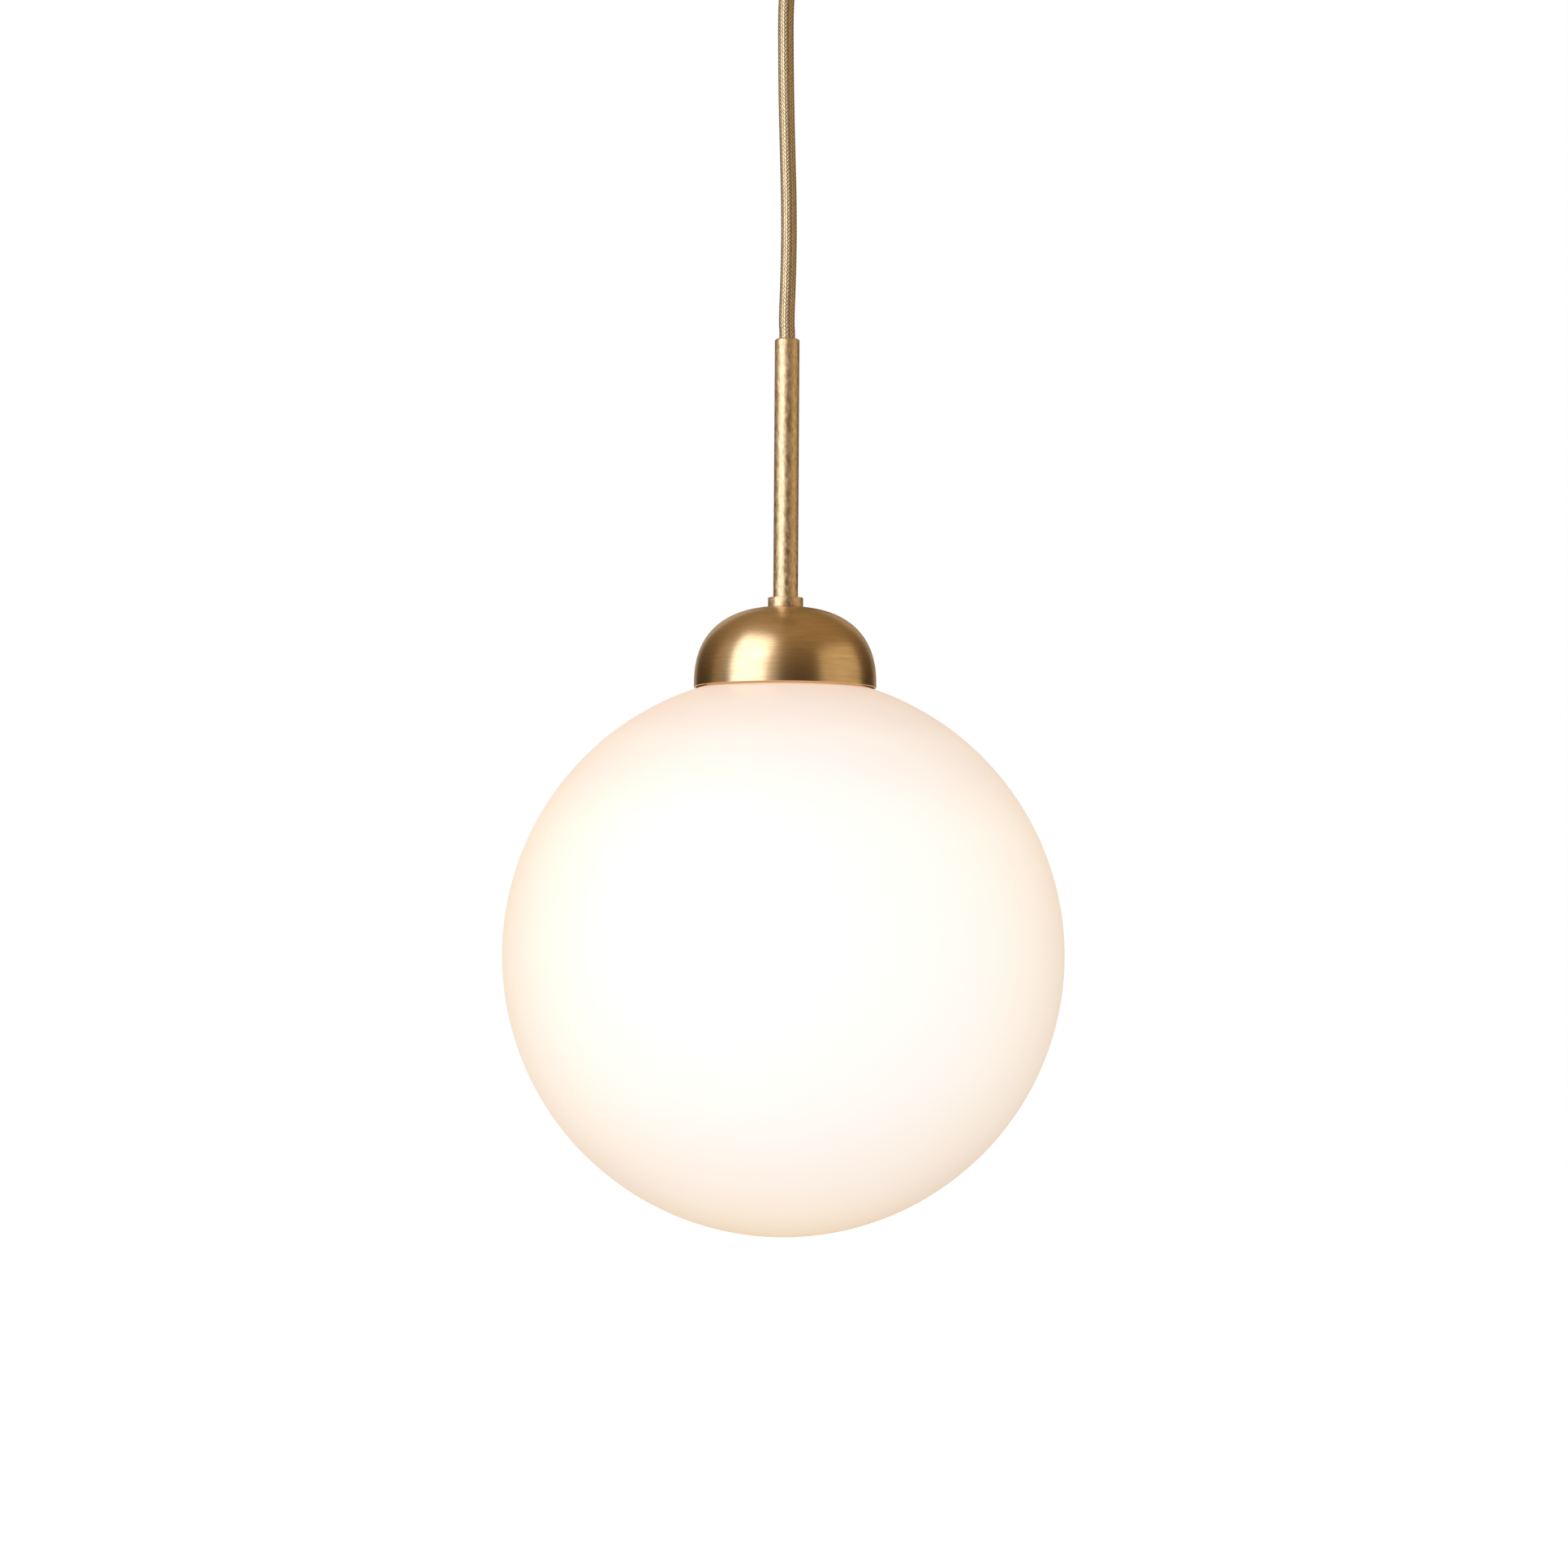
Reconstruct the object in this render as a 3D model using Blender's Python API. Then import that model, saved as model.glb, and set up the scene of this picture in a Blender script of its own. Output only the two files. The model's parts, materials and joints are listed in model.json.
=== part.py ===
"""A pendant ceiling light: an opal glass globe screwed up into a domed brass cap, hanging on a
slim brass stem and a textile cord from a brass canopy on the ceiling.

Metres, +Z up. The origin is the middle of the bracket's flat top face, against the ceiling, and
everything hangs below it on the Z axis. Run it with: blender --background --python part.py
"""

import math

import bmesh
import bpy
from mathutils import Vector

MM = 0.001
GAP = 0.3 * MM  # left between pieces that touch
ROUND = 36  # segments round the large turned pieces
SMALL_ROUND = 24  # segments round the small ones
TINY_ROUND = 12  # segments round screws and their holes
THREAD_ROUND = 23  # segments in each turn of a thread, set off from the edges of the wall it joins
SHARP_ANGLE = math.radians(35)
UP = Vector((0, 0, 1))
ACROSS = (0, math.radians(90), 0)  # turns a rod from Z to X

# The domes of the cap and the canopy: (r / radius) ** DOME_POWER + (z / height) ** DOME_POWER = 1
DOME_POWER = 2.5
DOME_STEPS = 8

# Ceiling fitting
CANOPY_RADIUS = 52.0 * MM
CANOPY_HEIGHT = 27.0 * MM
CANOPY_WALL = 1.0 * MM
BRACKET_HALF_LENGTH = 45.0 * MM
BRACKET_WIDTH = 16.0 * MM
BRACKET_THICKNESS = 2.0 * MM
BRACKET_EAR = 14.0 * MM
BRACKET_SLOT_X = 33.0 * MM
BRACKET_SLOT_LENGTH = 12.0 * MM
BRACKET_SLOT_WIDTH = 5.0 * MM
CANOPY_SCREW_Z = -6.2 * MM
SCREW_HOLE_RADIUS = 2.3 * MM
BLOCK_SIZE = Vector((16.0, 25.0, 10.0)) * MM
BLOCK_EDGE = 0.8 * MM
BLOCK_X = -18.0 * MM
BLOCK_POLE_SPACING = 7.5 * MM
BLOCK_WELL_FLOOR = 0.9 * MM  # below the wire bores
BLOCK_SCREW_DEPTH = 0.8 * MM  # of its head's underside, below the well's floor
WIRE_BORE_RADIUS = 1.6 * MM
EARTH_SCREW_X = 15.0 * MM
EARTH_TAG_RADIUS = 4.0 * MM
EARTH_TAG_TAIL = Vector((2.4, 6.0, 0.8)) * MM
GRIP_RADIUS = 5.0 * MM
GRIP_BORE = 3.9 * MM
GRIP_FLANGE_RADIUS = 8.0 * MM
GRIP_FLANGE = 3.4 * MM
GRIP_TOP_Z = -13.0 * MM
GRIP_CHAMFER = 0.8 * MM
GRIP_SCREW_DROP = 3.5 * MM  # below the grip's top
GRIP_SCREW_STAND = 2.0 * MM  # from the grip's side to the screw head's underside
GRIP_SCREW_HOLE = 1.8 * MM
GRIP_NUT_HEIGHT = 3.0 * MM
TAIL_STAND = 1.0 * MM  # of the cord's end above the grip
EXIT_BUSH_HEIGHT = 4.6 * MM
EXIT_BUSH_RADIUS = 7.6 * MM
EXIT_BUSH_BORE = 4.0 * MM
EXIT_BUSH_MOUTH = 6.77 * MM  # to the middle of its rolled lip
EXIT_BUSH_LIP = 0.9 * MM
EXIT_BUSH_CHAMFER = 0.6 * MM
SWING_ROOM = 1.3 * MM  # free height that the cord's end turns in

# Cord and stem
CORD_RADIUS = 3.2 * MM
CORE_RADIUS = 1.1 * MM
STEM_RADIUS = 5.0 * MM
STEM_BORE = 4.25 * MM
STEM_CHAMFER = 0.75 * MM
STEM_BUSH_LENGTH = 9.0 * MM
STEM_BUSH_WALL = 0.45 * MM
COLLAR_RADIUS = 7.1 * MM
COLLAR_HEIGHT = 3.3 * MM
COLLAR_EDGE = 0.3 * MM

# Cap, glass carrier and globe
CAP_RADIUS = 36.75 * MM
CAP_HEIGHT = 32.7 * MM
CAP_WALL = 0.8 * MM
CARRIER_WALL = 1.2 * MM
CARRIER_SKIRT_BORE = 31.0 * MM
CARRIER_CROWN_RADIUS = 9.0 * MM
CARRIER_CROWN_TAPER = 0.72 * MM  # that the crown is narrower by inside
CARRIER_SHOULDER_RADIUS = 24.0 * MM
CARRIER_RIDGE_CREST = 29.7 * MM
CARRIER_RIDGE_TURNS = 1.2
GLOBE_RADIUS = 112.5 * MM
GLASS = 3.0 * MM
NECK_RADIUS = 29.0 * MM
NECK_TOP = 120.0 * MM  # above the globe's centre
NECK_FILLET = 1.6 * MM
NECK_PITCH = 5.0 * MM
NECK_RIDGE_HEIGHT = 1.3 * MM
NECK_RIDGE_WIDTH = 1.8 * MM
NECK_RIDGE_TURNS = 1.25
GASKET_HEIGHT = 1.2 * MM
GASKET_LIP = 0.2 * MM  # past both faces of the neck
THREAD_GAP = 0.35 * MM  # between a ridge and the mating one, along the axis
THREAD_OFFSET = 0.27  # of a turn, so that a female ridge starts above the lower edge of its wall

# Lamp holder and bulb, in the E27 size
HOLDER_RADIUS = 19.5 * MM
HOLDER_WALL = 1.8 * MM
HOLDER_NECK_RADIUS = 8.5 * MM
HOLDER_NECK_HEIGHT = 4.5 * MM
HOLDER_SHOULDER = 9.0 * MM
HOLDER_LIP_HEIGHT = 2.2 * MM
HOLDER_CHAMFER = 1.0 * MM
LOCK_SCREW_DROP = 2.2 * MM  # below the holder's top
LOCK_SCREW_HOLE = 1.7 * MM
INSERT_RADIUS = 17.3 * MM
INSERT_CHAMFER = 0.8 * MM
TERMINAL_SCREW_R = 12.0 * MM  # from the axis to each terminal's screw
TERMINAL_WIRE_R = 6.5 * MM  # and to its wire hole
TERMINAL_SCREW_HOLE = 8.0 * MM  # the cutters' lengths, half of each above the insert's top
TERMINAL_WIRE_HOLE = 6.0 * MM
SCREW_PITCH = 3.63 * MM
SLEEVE_BORE = 13.6 * MM
SLEEVE_WALL = 0.7 * MM
SLEEVE_RIDGE_CREST = 12.5 * MM
SLEEVE_RIDGE_TURNS = 3.0
CONTACT_WIDTH = 5.0 * MM
CONTACT_STRIP = 0.6 * MM
BULB_TIP_RADIUS = 3.2 * MM
BULB_TIP_HEIGHT = 1.6 * MM
INSULATOR_RADIUS = 11.0 * MM
INSULATOR_TIP_RADIUS = 5.0 * MM
SHELL_WALL = 0.7 * MM
SHELL_SHOULDER = 1.5 * MM
SHELL_HOLE = 4.0 * MM
BULB_THREAD_ROOT = 12.1 * MM
BULB_RIDGE_HEIGHT = 0.9 * MM
BULB_RIDGE_WIDTH = 1.2 * MM
BULB_RIDGE_TURNS = 3.75
HOUSING_WALL = 1.5 * MM
HOUSING_NECK = 3.0 * MM  # the height of its straight neck
HOUSING_FOOT = 4.0 * MM  # and of its nearly straight foot, which is narrower at the top
HOUSING_FOOT_TAPER = 0.3 * MM
BULB_RADIUS = 22.5 * MM
BULB_SKIN = 1.2 * MM
LIGHT_BOARD_RADIUS = 17.5 * MM
LIGHT_BOARD_LIFT = 0.8 * MM  # above the seam
BOARD_THICKNESS = 1.2 * MM
DRIVER_BOARD = Vector((14.0 * MM, BOARD_THICKNESS, 26.0 * MM))
DRIVER_BOARD_LIFT = 2.6 * MM
CAPACITOR_RADIUS = 3.0 * MM
CAPACITOR_LENGTH = 9.0 * MM
CAPACITOR_LIFT = 2.0 * MM

# Screws: head radius, head height, shank radius, shank length
CANOPY_SCREW = (3.0 * MM, 1.6 * MM, 1.9 * MM, 9.0 * MM)
GRIP_SCREW = (2.6 * MM, 2.0 * MM, 1.4 * MM, 3.5 * MM)
BLOCK_SCREW = (1.8 * MM, 1.2 * MM, 1.2 * MM, 0.5 * MM)
EARTH_SCREW = (3.5 * MM, 2.0 * MM, 1.9 * MM, 2.4 * MM)
HOLDER_LOCK_SCREW = (1.3 * MM, 1.0 * MM, 1.1 * MM, 3.2 * MM)
TERMINAL_SCREW = (2.5 * MM, 1.4 * MM, 1.3 * MM, 3.6 * MM)
SCREW_RIM = 0.2  # the chamfer's share of a head's height
SLOT_WIDTH = 0.44  # the slot's share of a head's radius
NUT_FLATS = 14.0 * MM

# Heights on the Z axis, from the ceiling down
UNDER_BRACKET_Z = -BRACKET_THICKNESS - GAP
WIRE_Z = UNDER_BRACKET_Z - 4.2 * MM
CANOPY_RIM_Z = -GAP
CANOPY_BOTTOM_Z = CANOPY_RIM_Z - CANOPY_HEIGHT
GRIP_BOTTOM_Z = CANOPY_BOTTOM_Z - GAP - GRIP_FLANGE
PIVOT_Z = GRIP_BOTTOM_Z - GAP
GLOBE_Z = -430.0 * MM
STEM_TOP_Z = GLOBE_Z + 248.6 * MM
STEM_BOTTOM_Z = GLOBE_Z + 124.0 * MM
CAP_RIM_Z = GLOBE_Z + 107.4 * MM
CAP_TOP_Z = CAP_RIM_Z + CAP_HEIGHT
CARRIER_TOP_Z = CAP_TOP_Z - CAP_WALL - 1.0 * MM
CARRIER_SHELF_Z = GLOBE_Z + NECK_TOP + GASKET_HEIGHT + 2 * GAP
WASHER_TOP_Z = CARRIER_TOP_Z - CARRIER_WALL - GAP
WASHER_HEIGHT = 0.7 * MM
WASHER_RADIUS = 7.8 * MM
NUT_HEIGHT = 4.0 * MM
NUT_BOTTOM_Z = WASHER_TOP_Z - WASHER_HEIGHT - GAP - NUT_HEIGHT
CARRIER_SKIRT_Z = GLOBE_Z + 109.0 * MM
NECK_THREAD_Z = GLOBE_Z + 111.5 * MM
HOLDER_TOP_Z = NUT_BOTTOM_Z - GAP
HOLDER_SPLIT_Z = GLOBE_Z + 110.0 * MM
HOLDER_BOTTOM_Z = GLOBE_Z + 75.5 * MM
INSERT_TOP_Z = GLOBE_Z + 112.0 * MM
INSERT_HEIGHT = 7.4 * MM
INSERT_BOTTOM_Z = INSERT_TOP_Z - INSERT_HEIGHT
SLEEVE_TOP_Z = GLOBE_Z + 100.7 * MM
SLEEVE_BOTTOM_Z = GLOBE_Z + 76.0 * MM
BULB_TIP_Z = GLOBE_Z + 101.2 * MM
BULB_SHELL_TOP_Z = GLOBE_Z + 95.2 * MM
BULB_SHELL_BOTTOM_Z = GLOBE_Z + 74.0 * MM
BULB_THREAD_Z = BULB_SHELL_BOTTOM_Z + 4.4 * MM
BULB_CENTRE_Z = GLOBE_Z + 40.0 * MM
BULB_SEAM_Z = GLOBE_Z + 50.0 * MM

# The cord's route as (x, z), down from the canopy: a slack textile cord keeps a slight bow,
# straightens into the stem and ends inside the lamp holder.
CORD_ROUTE = [
    (0.0, PIVOT_Z - GAP),
    (-0.5 * MM, STEM_TOP_Z + 146 * MM),
    (-1.1 * MM, STEM_TOP_Z + 139 * MM),
    (-1.34 * MM, STEM_TOP_Z + 130 * MM),
    (-1.25 * MM, STEM_TOP_Z + 118 * MM),
    (-1.04 * MM, STEM_TOP_Z + 104 * MM),
    (-0.65 * MM, STEM_TOP_Z + 88 * MM),
    (-0.13 * MM, STEM_TOP_Z + 71 * MM),
    (0.25 * MM, STEM_TOP_Z + 58 * MM),
    (0.42 * MM, STEM_TOP_Z + 45 * MM),
    (0.38 * MM, STEM_TOP_Z + 34 * MM),
    (0.15 * MM, STEM_TOP_Z + 22 * MM),
    (-0.15 * MM, STEM_TOP_Z + 12 * MM),
    (-0.2 * MM, STEM_TOP_Z + 6 * MM),
    (0.0, STEM_TOP_Z),
    (0.0, STEM_TOP_Z - 30 * MM),
    (0.0, STEM_TOP_Z - 62 * MM),
    (0.0, STEM_TOP_Z - 94 * MM),
    (0.0, STEM_BOTTOM_Z - 3 * MM),
]
CORD_STEP = 14.0 * MM
CORE_STEP = 4.0 * MM
TAIL_STEP = 6.0 * MM

# The earth link's route, from the terminal block round to the ring tag
EARTH_LINK_ROUTE = [
    (BLOCK_X - 3.0 * MM, 0.0, WIRE_Z),
    (BLOCK_X - BLOCK_SIZE.x / 2, 0.0, WIRE_Z),
    (BLOCK_X - 12.0 * MM, -3.0 * MM, WIRE_Z),
    (BLOCK_X - 12.0 * MM, -13.0 * MM, WIRE_Z - 1.0 * MM),
    (BLOCK_X, -17.0 * MM, WIRE_Z - 1.0 * MM),
    (0.0, -17.0 * MM, UNDER_BRACKET_Z - CORE_RADIUS - 1.0 * MM),
    (EARTH_SCREW_X - 4.0 * MM, -15.5 * MM, UNDER_BRACKET_Z - CORE_RADIUS),
    (EARTH_SCREW_X, -10.6 * MM, UNDER_BRACKET_Z - CORE_RADIUS),
]

# Each finish's colour, roughness and metallic
MATERIALS = {
    "brushed_brass": ((0.66, 0.47, 0.26), 0.32, 1.0),
    "satin_brass": ((0.70, 0.53, 0.32), 0.38, 1.0),
    "zinc_steel": ((0.62, 0.63, 0.64), 0.35, 1.0),
    "nickel": ((0.72, 0.70, 0.66), 0.28, 1.0),
    "opal_glass": ((0.93, 0.90, 0.85), 0.35, 0.0),
    "bulb_diffuser": ((0.94, 0.93, 0.90), 0.45, 0.0),
    "textile": ((0.62, 0.50, 0.32), 0.85, 0.0),
    "white_nylon": ((0.86, 0.85, 0.81), 0.50, 0.0),
    "black_plastic": ((0.03, 0.03, 0.03), 0.45, 0.0),
    "ceramic": ((0.88, 0.86, 0.80), 0.30, 0.0),
    "silicone": ((0.78, 0.78, 0.76), 0.60, 0.0),
    "brown_insulation": ((0.22, 0.09, 0.04), 0.50, 0.0),
    "blue_insulation": ((0.05, 0.16, 0.45), 0.50, 0.0),
    "green_yellow_insulation": ((0.35, 0.55, 0.08), 0.50, 0.0),
    "circuit_board": ((0.86, 0.87, 0.86), 0.50, 0.0),
}
CORE_FINISHES = {
    "live": "brown_insulation",
    "earth": "green_yellow_insulation",
    "neutral": "blue_insulation",
}


def clear_scene():
    for obj in list(bpy.data.objects):
        bpy.data.objects.remove(obj, do_unlink=True)


def make_materials():
    """One Principled material for each finish."""
    made = {}
    for name, (colour, roughness, metallic) in MATERIALS.items():
        material = bpy.data.materials.new(name)
        material.use_nodes = True
        shader = material.node_tree.nodes["Principled BSDF"]
        shader.inputs["Base Color"].default_value = (*colour, 1.0)
        shader.inputs["Roughness"].default_value = roughness
        shader.inputs["Metallic"].default_value = metallic
        made[name] = material
    return made


def make_body(name, z):
    """The empty that carries one rigid body's pieces, at a point on its joint's axis."""
    empty = bpy.data.objects.new(name, None)
    empty.location = (0, 0, z)
    bpy.context.collection.objects.link(empty)
    return empty


def add_mesh(name, bm, at, material, body):
    """A closed mesh as its own object: its local origin at the world point at, carried by body."""
    bmesh.ops.recalc_face_normals(bm, faces=bm.faces)
    mesh = bpy.data.meshes.new(name)
    bm.to_mesh(mesh)
    bm.free()
    mesh.shade_smooth()
    mesh.set_sharp_from_angle(angle=SHARP_ANGLE)
    mesh.materials.append(material)
    obj = bpy.data.objects.new(name, mesh)
    bpy.context.collection.objects.link(obj)
    obj.parent = body
    obj.location = Vector(at) - body.location
    return obj


def at_height(z):
    return Vector((0, 0, z))


def arc(centre_r, centre_z, radius, start, end, steps):
    """Points (r, z) on a circular arc, both ends included, with angles in degrees from +r."""
    points = []
    for i in range(steps + 1):
        angle = math.radians(start + (end - start) * i / steps)
        points.append((centre_r + radius * math.cos(angle), centre_z + radius * math.sin(angle)))
    return points


def dome_arc(radius, height, hole):
    """The outline of a rounded dome, from its rim at z = 0 up to the hole in its top."""
    last = math.acos((hole / radius) ** (DOME_POWER / 2))
    points = []
    for i in range(DOME_STEPS + 1):
        angle = last * i / DOME_STEPS
        r = radius * math.cos(angle) ** (2 / DOME_POWER)
        z = height * math.sin(angle) ** (2 / DOME_POWER)
        points.append((r, z))
    return points


def dome_shell(radius, height, wall, hole):
    """The closed outline of a dome's wall."""
    outside = dome_arc(radius, height, hole)
    inside = dome_arc(radius - wall, height - wall, hole)
    return outside + inside[::-1]


def turned_mesh(outline, segments):
    """An outline of (r, z) points turned about Z. One that starts and ends on the axis closes there."""
    bm = bmesh.new()
    verts = [bm.verts.new((max(r, 0.0), 0, z)) for r, z in outline]
    edges = [bm.edges.new(pair) for pair in zip(verts, verts[1:])]
    if outline[0][0] > 0:
        edges.append(bm.edges.new((verts[-1], verts[0])))
    bmesh.ops.spin(
        bm,
        geom=verts + edges,
        cent=(0, 0, 0),
        axis=(0, 0, 1),
        angle=math.tau,
        steps=segments,
        use_merge=True,
    )
    bmesh.ops.remove_doubles(bm, verts=bm.verts, dist=1e-7)
    return bm


def add_turned(name, outline, at, material, body, segments=SMALL_ROUND):
    return add_mesh(name, turned_mesh(outline, segments), at, material, body)


def ring_outline(inner, outer, bottom, top):
    return [(inner, bottom), (outer, bottom), (outer, top), (inner, top)]


def prism_mesh(outline, thickness):
    """An outline of (x, y) points extruded up from z = 0."""
    bm = bmesh.new()
    face = bm.faces.new([bm.verts.new((x, y, 0)) for x, y in outline])
    moved = bmesh.ops.extrude_face_region(bm, geom=[face])["geom"]
    tops = [item for item in moved if isinstance(item, bmesh.types.BMVert)]
    bmesh.ops.translate(bm, verts=tops, vec=(0, 0, thickness))
    return bm


def box_mesh(size):
    """A box centred on its origin."""
    bm = bmesh.new()
    bmesh.ops.create_cube(bm, size=1.0)
    bmesh.ops.scale(bm, vec=size, verts=bm.verts)
    return bm


def rod_mesh(radius, length):
    """A rod centred on its origin, along Z."""
    bm = bmesh.new()
    bmesh.ops.create_cone(
        bm, cap_ends=True, segments=TINY_ROUND, radius1=radius, radius2=radius, depth=length
    )
    return bm


def ridge_mesh(root, crest, width, pitch, turns):
    """A screw thread's ridge: a tapered section swept up a right-hand helix from z = 0.

    The root radius lies inside the wall that the ridge is joined to; the crest may be inside or
    outside of it.
    """
    section = [(root, -width / 2), (crest, -width / 3), (crest, width / 3), (root, width / 2)]
    steps = round(turns * THREAD_ROUND)
    bm = bmesh.new()
    rings = []
    for i in range(steps + 1):
        angle = math.tau * turns * i / steps
        rise = pitch * turns * i / steps
        rings.append(
            [bm.verts.new((r * math.cos(angle), r * math.sin(angle), rise + z)) for r, z in section]
        )
    for low, high in zip(rings, rings[1:]):
        for k in range(len(section)):
            after = (k + 1) % len(section)
            bm.faces.new((low[k], low[after], high[after], high[k]))
    bm.faces.new(rings[0])
    bm.faces.new(rings[-1])
    return bm


def combine(obj, bm, at, operation, turn=(0, 0, 0)):
    """Joins a helper shape to obj, or cuts it away. The helper stays in the file, out of renders."""
    material = obj.data.materials[0]
    helper = add_mesh(f"{obj.name}_{operation.lower()}", bm, at, material, obj.parent)
    helper.rotation_euler = turn
    helper.hide_render = True
    helper.display_type = "WIRE"
    modifier = obj.modifiers.new(operation.title(), "BOOLEAN")
    modifier.operation = operation
    modifier.object = helper


def bevel(obj, width):
    modifier = obj.modifiers.new("Bevel", "BEVEL")
    modifier.width = width
    modifier.segments = 1
    modifier.limit_method = "ANGLE"


def add_screw(name, at, direction, size, material, body):
    """A slotted screw whose head's underside is at the world point at, pointing along direction."""
    head_radius, head_height, shank_radius, shank_length = size
    rim = SCREW_RIM * head_height
    outline = [
        (0, shank_length),
        (shank_radius, shank_length),
        (shank_radius, 0),
        (head_radius, 0),
        (head_radius, -head_height + rim),
        (head_radius - rim, -head_height),
        (0, -head_height),
    ]
    screw = add_turned(name, outline, at, material, body, TINY_ROUND)
    turn = direction.to_track_quat("Z", "Y").to_euler()
    screw.rotation_euler = turn
    slot = box_mesh((SLOT_WIDTH * head_radius, 3 * head_radius, head_height))
    combine(screw, slot, Vector(at) - direction * head_height, "DIFFERENCE", turn)


def add_nut(name, height, bore, at, material, body):
    """A hexagon nut standing up from the point at."""
    corner = NUT_FLATS / 2 / math.cos(math.radians(30))
    nut = add_mesh(name, prism_mesh(arc(0, 0, corner, 0, 300, 5), height), at, material, body)
    combine(nut, turned_mesh(ring_rod(bore, height), SMALL_ROUND), at, "DIFFERENCE")


def ring_rod(radius, height):
    """The outline of a solid rod that runs 1 mm past both ends of a hole of this height."""
    return [(0, -MM), (radius, -MM), (radius, height + MM), (0, height + MM)]


def smooth_route(points, step):
    """Points about step apart on a Catmull-Rom curve through the route's own points."""
    points = [Vector(point) for point in points]
    ends = [2 * points[0] - points[1], *points, 2 * points[-1] - points[-2]]
    route = [points[0]]
    for a, b, c, d in zip(ends, ends[1:], ends[2:], ends[3:]):
        count = max(1, round((c - b).length / step))
        for i in range(1, count + 1):
            t = i / count
            route.append(
                0.5 * (2 * b + (c - a) * t + (2 * a - 5 * b + 4 * c - d) * t**2
                       + (3 * b - a - 3 * c + d) * t**3)
            )
    return route


def add_cable(name, points, step, radius, material, body):
    """A round cable along a smooth curve through world points."""
    route = smooth_route(points, step)
    curve = bpy.data.curves.new(name, "CURVE")
    curve.dimensions = "3D"
    curve.bevel_depth = radius
    curve.bevel_resolution = 2
    curve.use_fill_caps = True
    spline = curve.splines.new("POLY")
    spline.points.add(len(route) - 1)
    for point, place in zip(spline.points, route):
        point.co = (*(place - body.location), 1.0)
    curve.materials.append(material)
    obj = bpy.data.objects.new(name, curve)
    bpy.context.collection.objects.link(obj)
    obj.parent = body


def stadium(length, width):
    """The outline of a slot with round ends, along X."""
    half = (length - width) / 2
    return arc(half, 0, width / 2, -90, 90, 6) + arc(-half, 0, width / 2, 90, 270, 6)


def make_bracket(materials, body):
    """The steel strap that screws to the ceiling, with an ear bent down at each end."""
    inner = BRACKET_HALF_LENGTH - BRACKET_THICKNESS
    outline = [
        (-BRACKET_HALF_LENGTH, -BRACKET_EAR),
        (-inner, -BRACKET_EAR),
        (-inner, -BRACKET_THICKNESS),
        (inner, -BRACKET_THICKNESS),
        (inner, -BRACKET_EAR),
        (BRACKET_HALF_LENGTH, -BRACKET_EAR),
        (BRACKET_HALF_LENGTH, 0),
        (-BRACKET_HALF_LENGTH, 0),
    ]
    at = Vector((0, BRACKET_WIDTH / 2, 0))
    bracket = add_mesh(
        "ceiling_bracket", prism_mesh(outline, BRACKET_WIDTH), at, materials["zinc_steel"], body
    )
    bracket.rotation_euler = (math.radians(90), 0, 0)
    for side in (-1, 1):
        slot = prism_mesh(stadium(BRACKET_SLOT_LENGTH, BRACKET_SLOT_WIDTH), 3 * BRACKET_THICKNESS)
        corner = Vector((side * BRACKET_SLOT_X, 0, -2 * BRACKET_THICKNESS))
        combine(bracket, slot, corner, "DIFFERENCE")
        hole = rod_mesh(SCREW_HOLE_RADIUS, 4 * BRACKET_THICKNESS)
        middle = Vector((side * BRACKET_HALF_LENGTH, 0, CANOPY_SCREW_Z))
        combine(bracket, hole, middle, "DIFFERENCE", ACROSS)
    hole = rod_mesh(SCREW_HOLE_RADIUS, 4 * BRACKET_THICKNESS)
    combine(bracket, hole, Vector((EARTH_SCREW_X, 0, 0)), "DIFFERENCE")


def make_canopy(materials, body):
    """The brass cup that hides the wiring, with a hole for the cord grip and two side holes."""
    hole = GRIP_RADIUS + GAP
    outline = [(r, -z) for r, z in dome_shell(CANOPY_RADIUS, CANOPY_HEIGHT, CANOPY_WALL, hole)]
    at = at_height(CANOPY_RIM_Z)
    canopy = add_turned("canopy", outline, at, materials["brushed_brass"], body, ROUND)
    for side in (-1, 1):
        cutter = rod_mesh(SCREW_HOLE_RADIUS, 8 * CANOPY_WALL)
        middle = Vector((side * (CANOPY_RADIUS - CANOPY_WALL), 0, CANOPY_SCREW_Z))
        combine(canopy, cutter, middle, "DIFFERENCE", ACROSS)


def make_canopy_screws(materials, body):
    brass = materials["brushed_brass"]
    for name, side in (("canopy_screw_left", -1), ("canopy_screw_right", 1)):
        at = Vector((side * (CANOPY_RADIUS + GAP), 0, CANOPY_SCREW_Z))
        add_screw(name, at, Vector((-side, 0, 0)), CANOPY_SCREW, brass, body)


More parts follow.
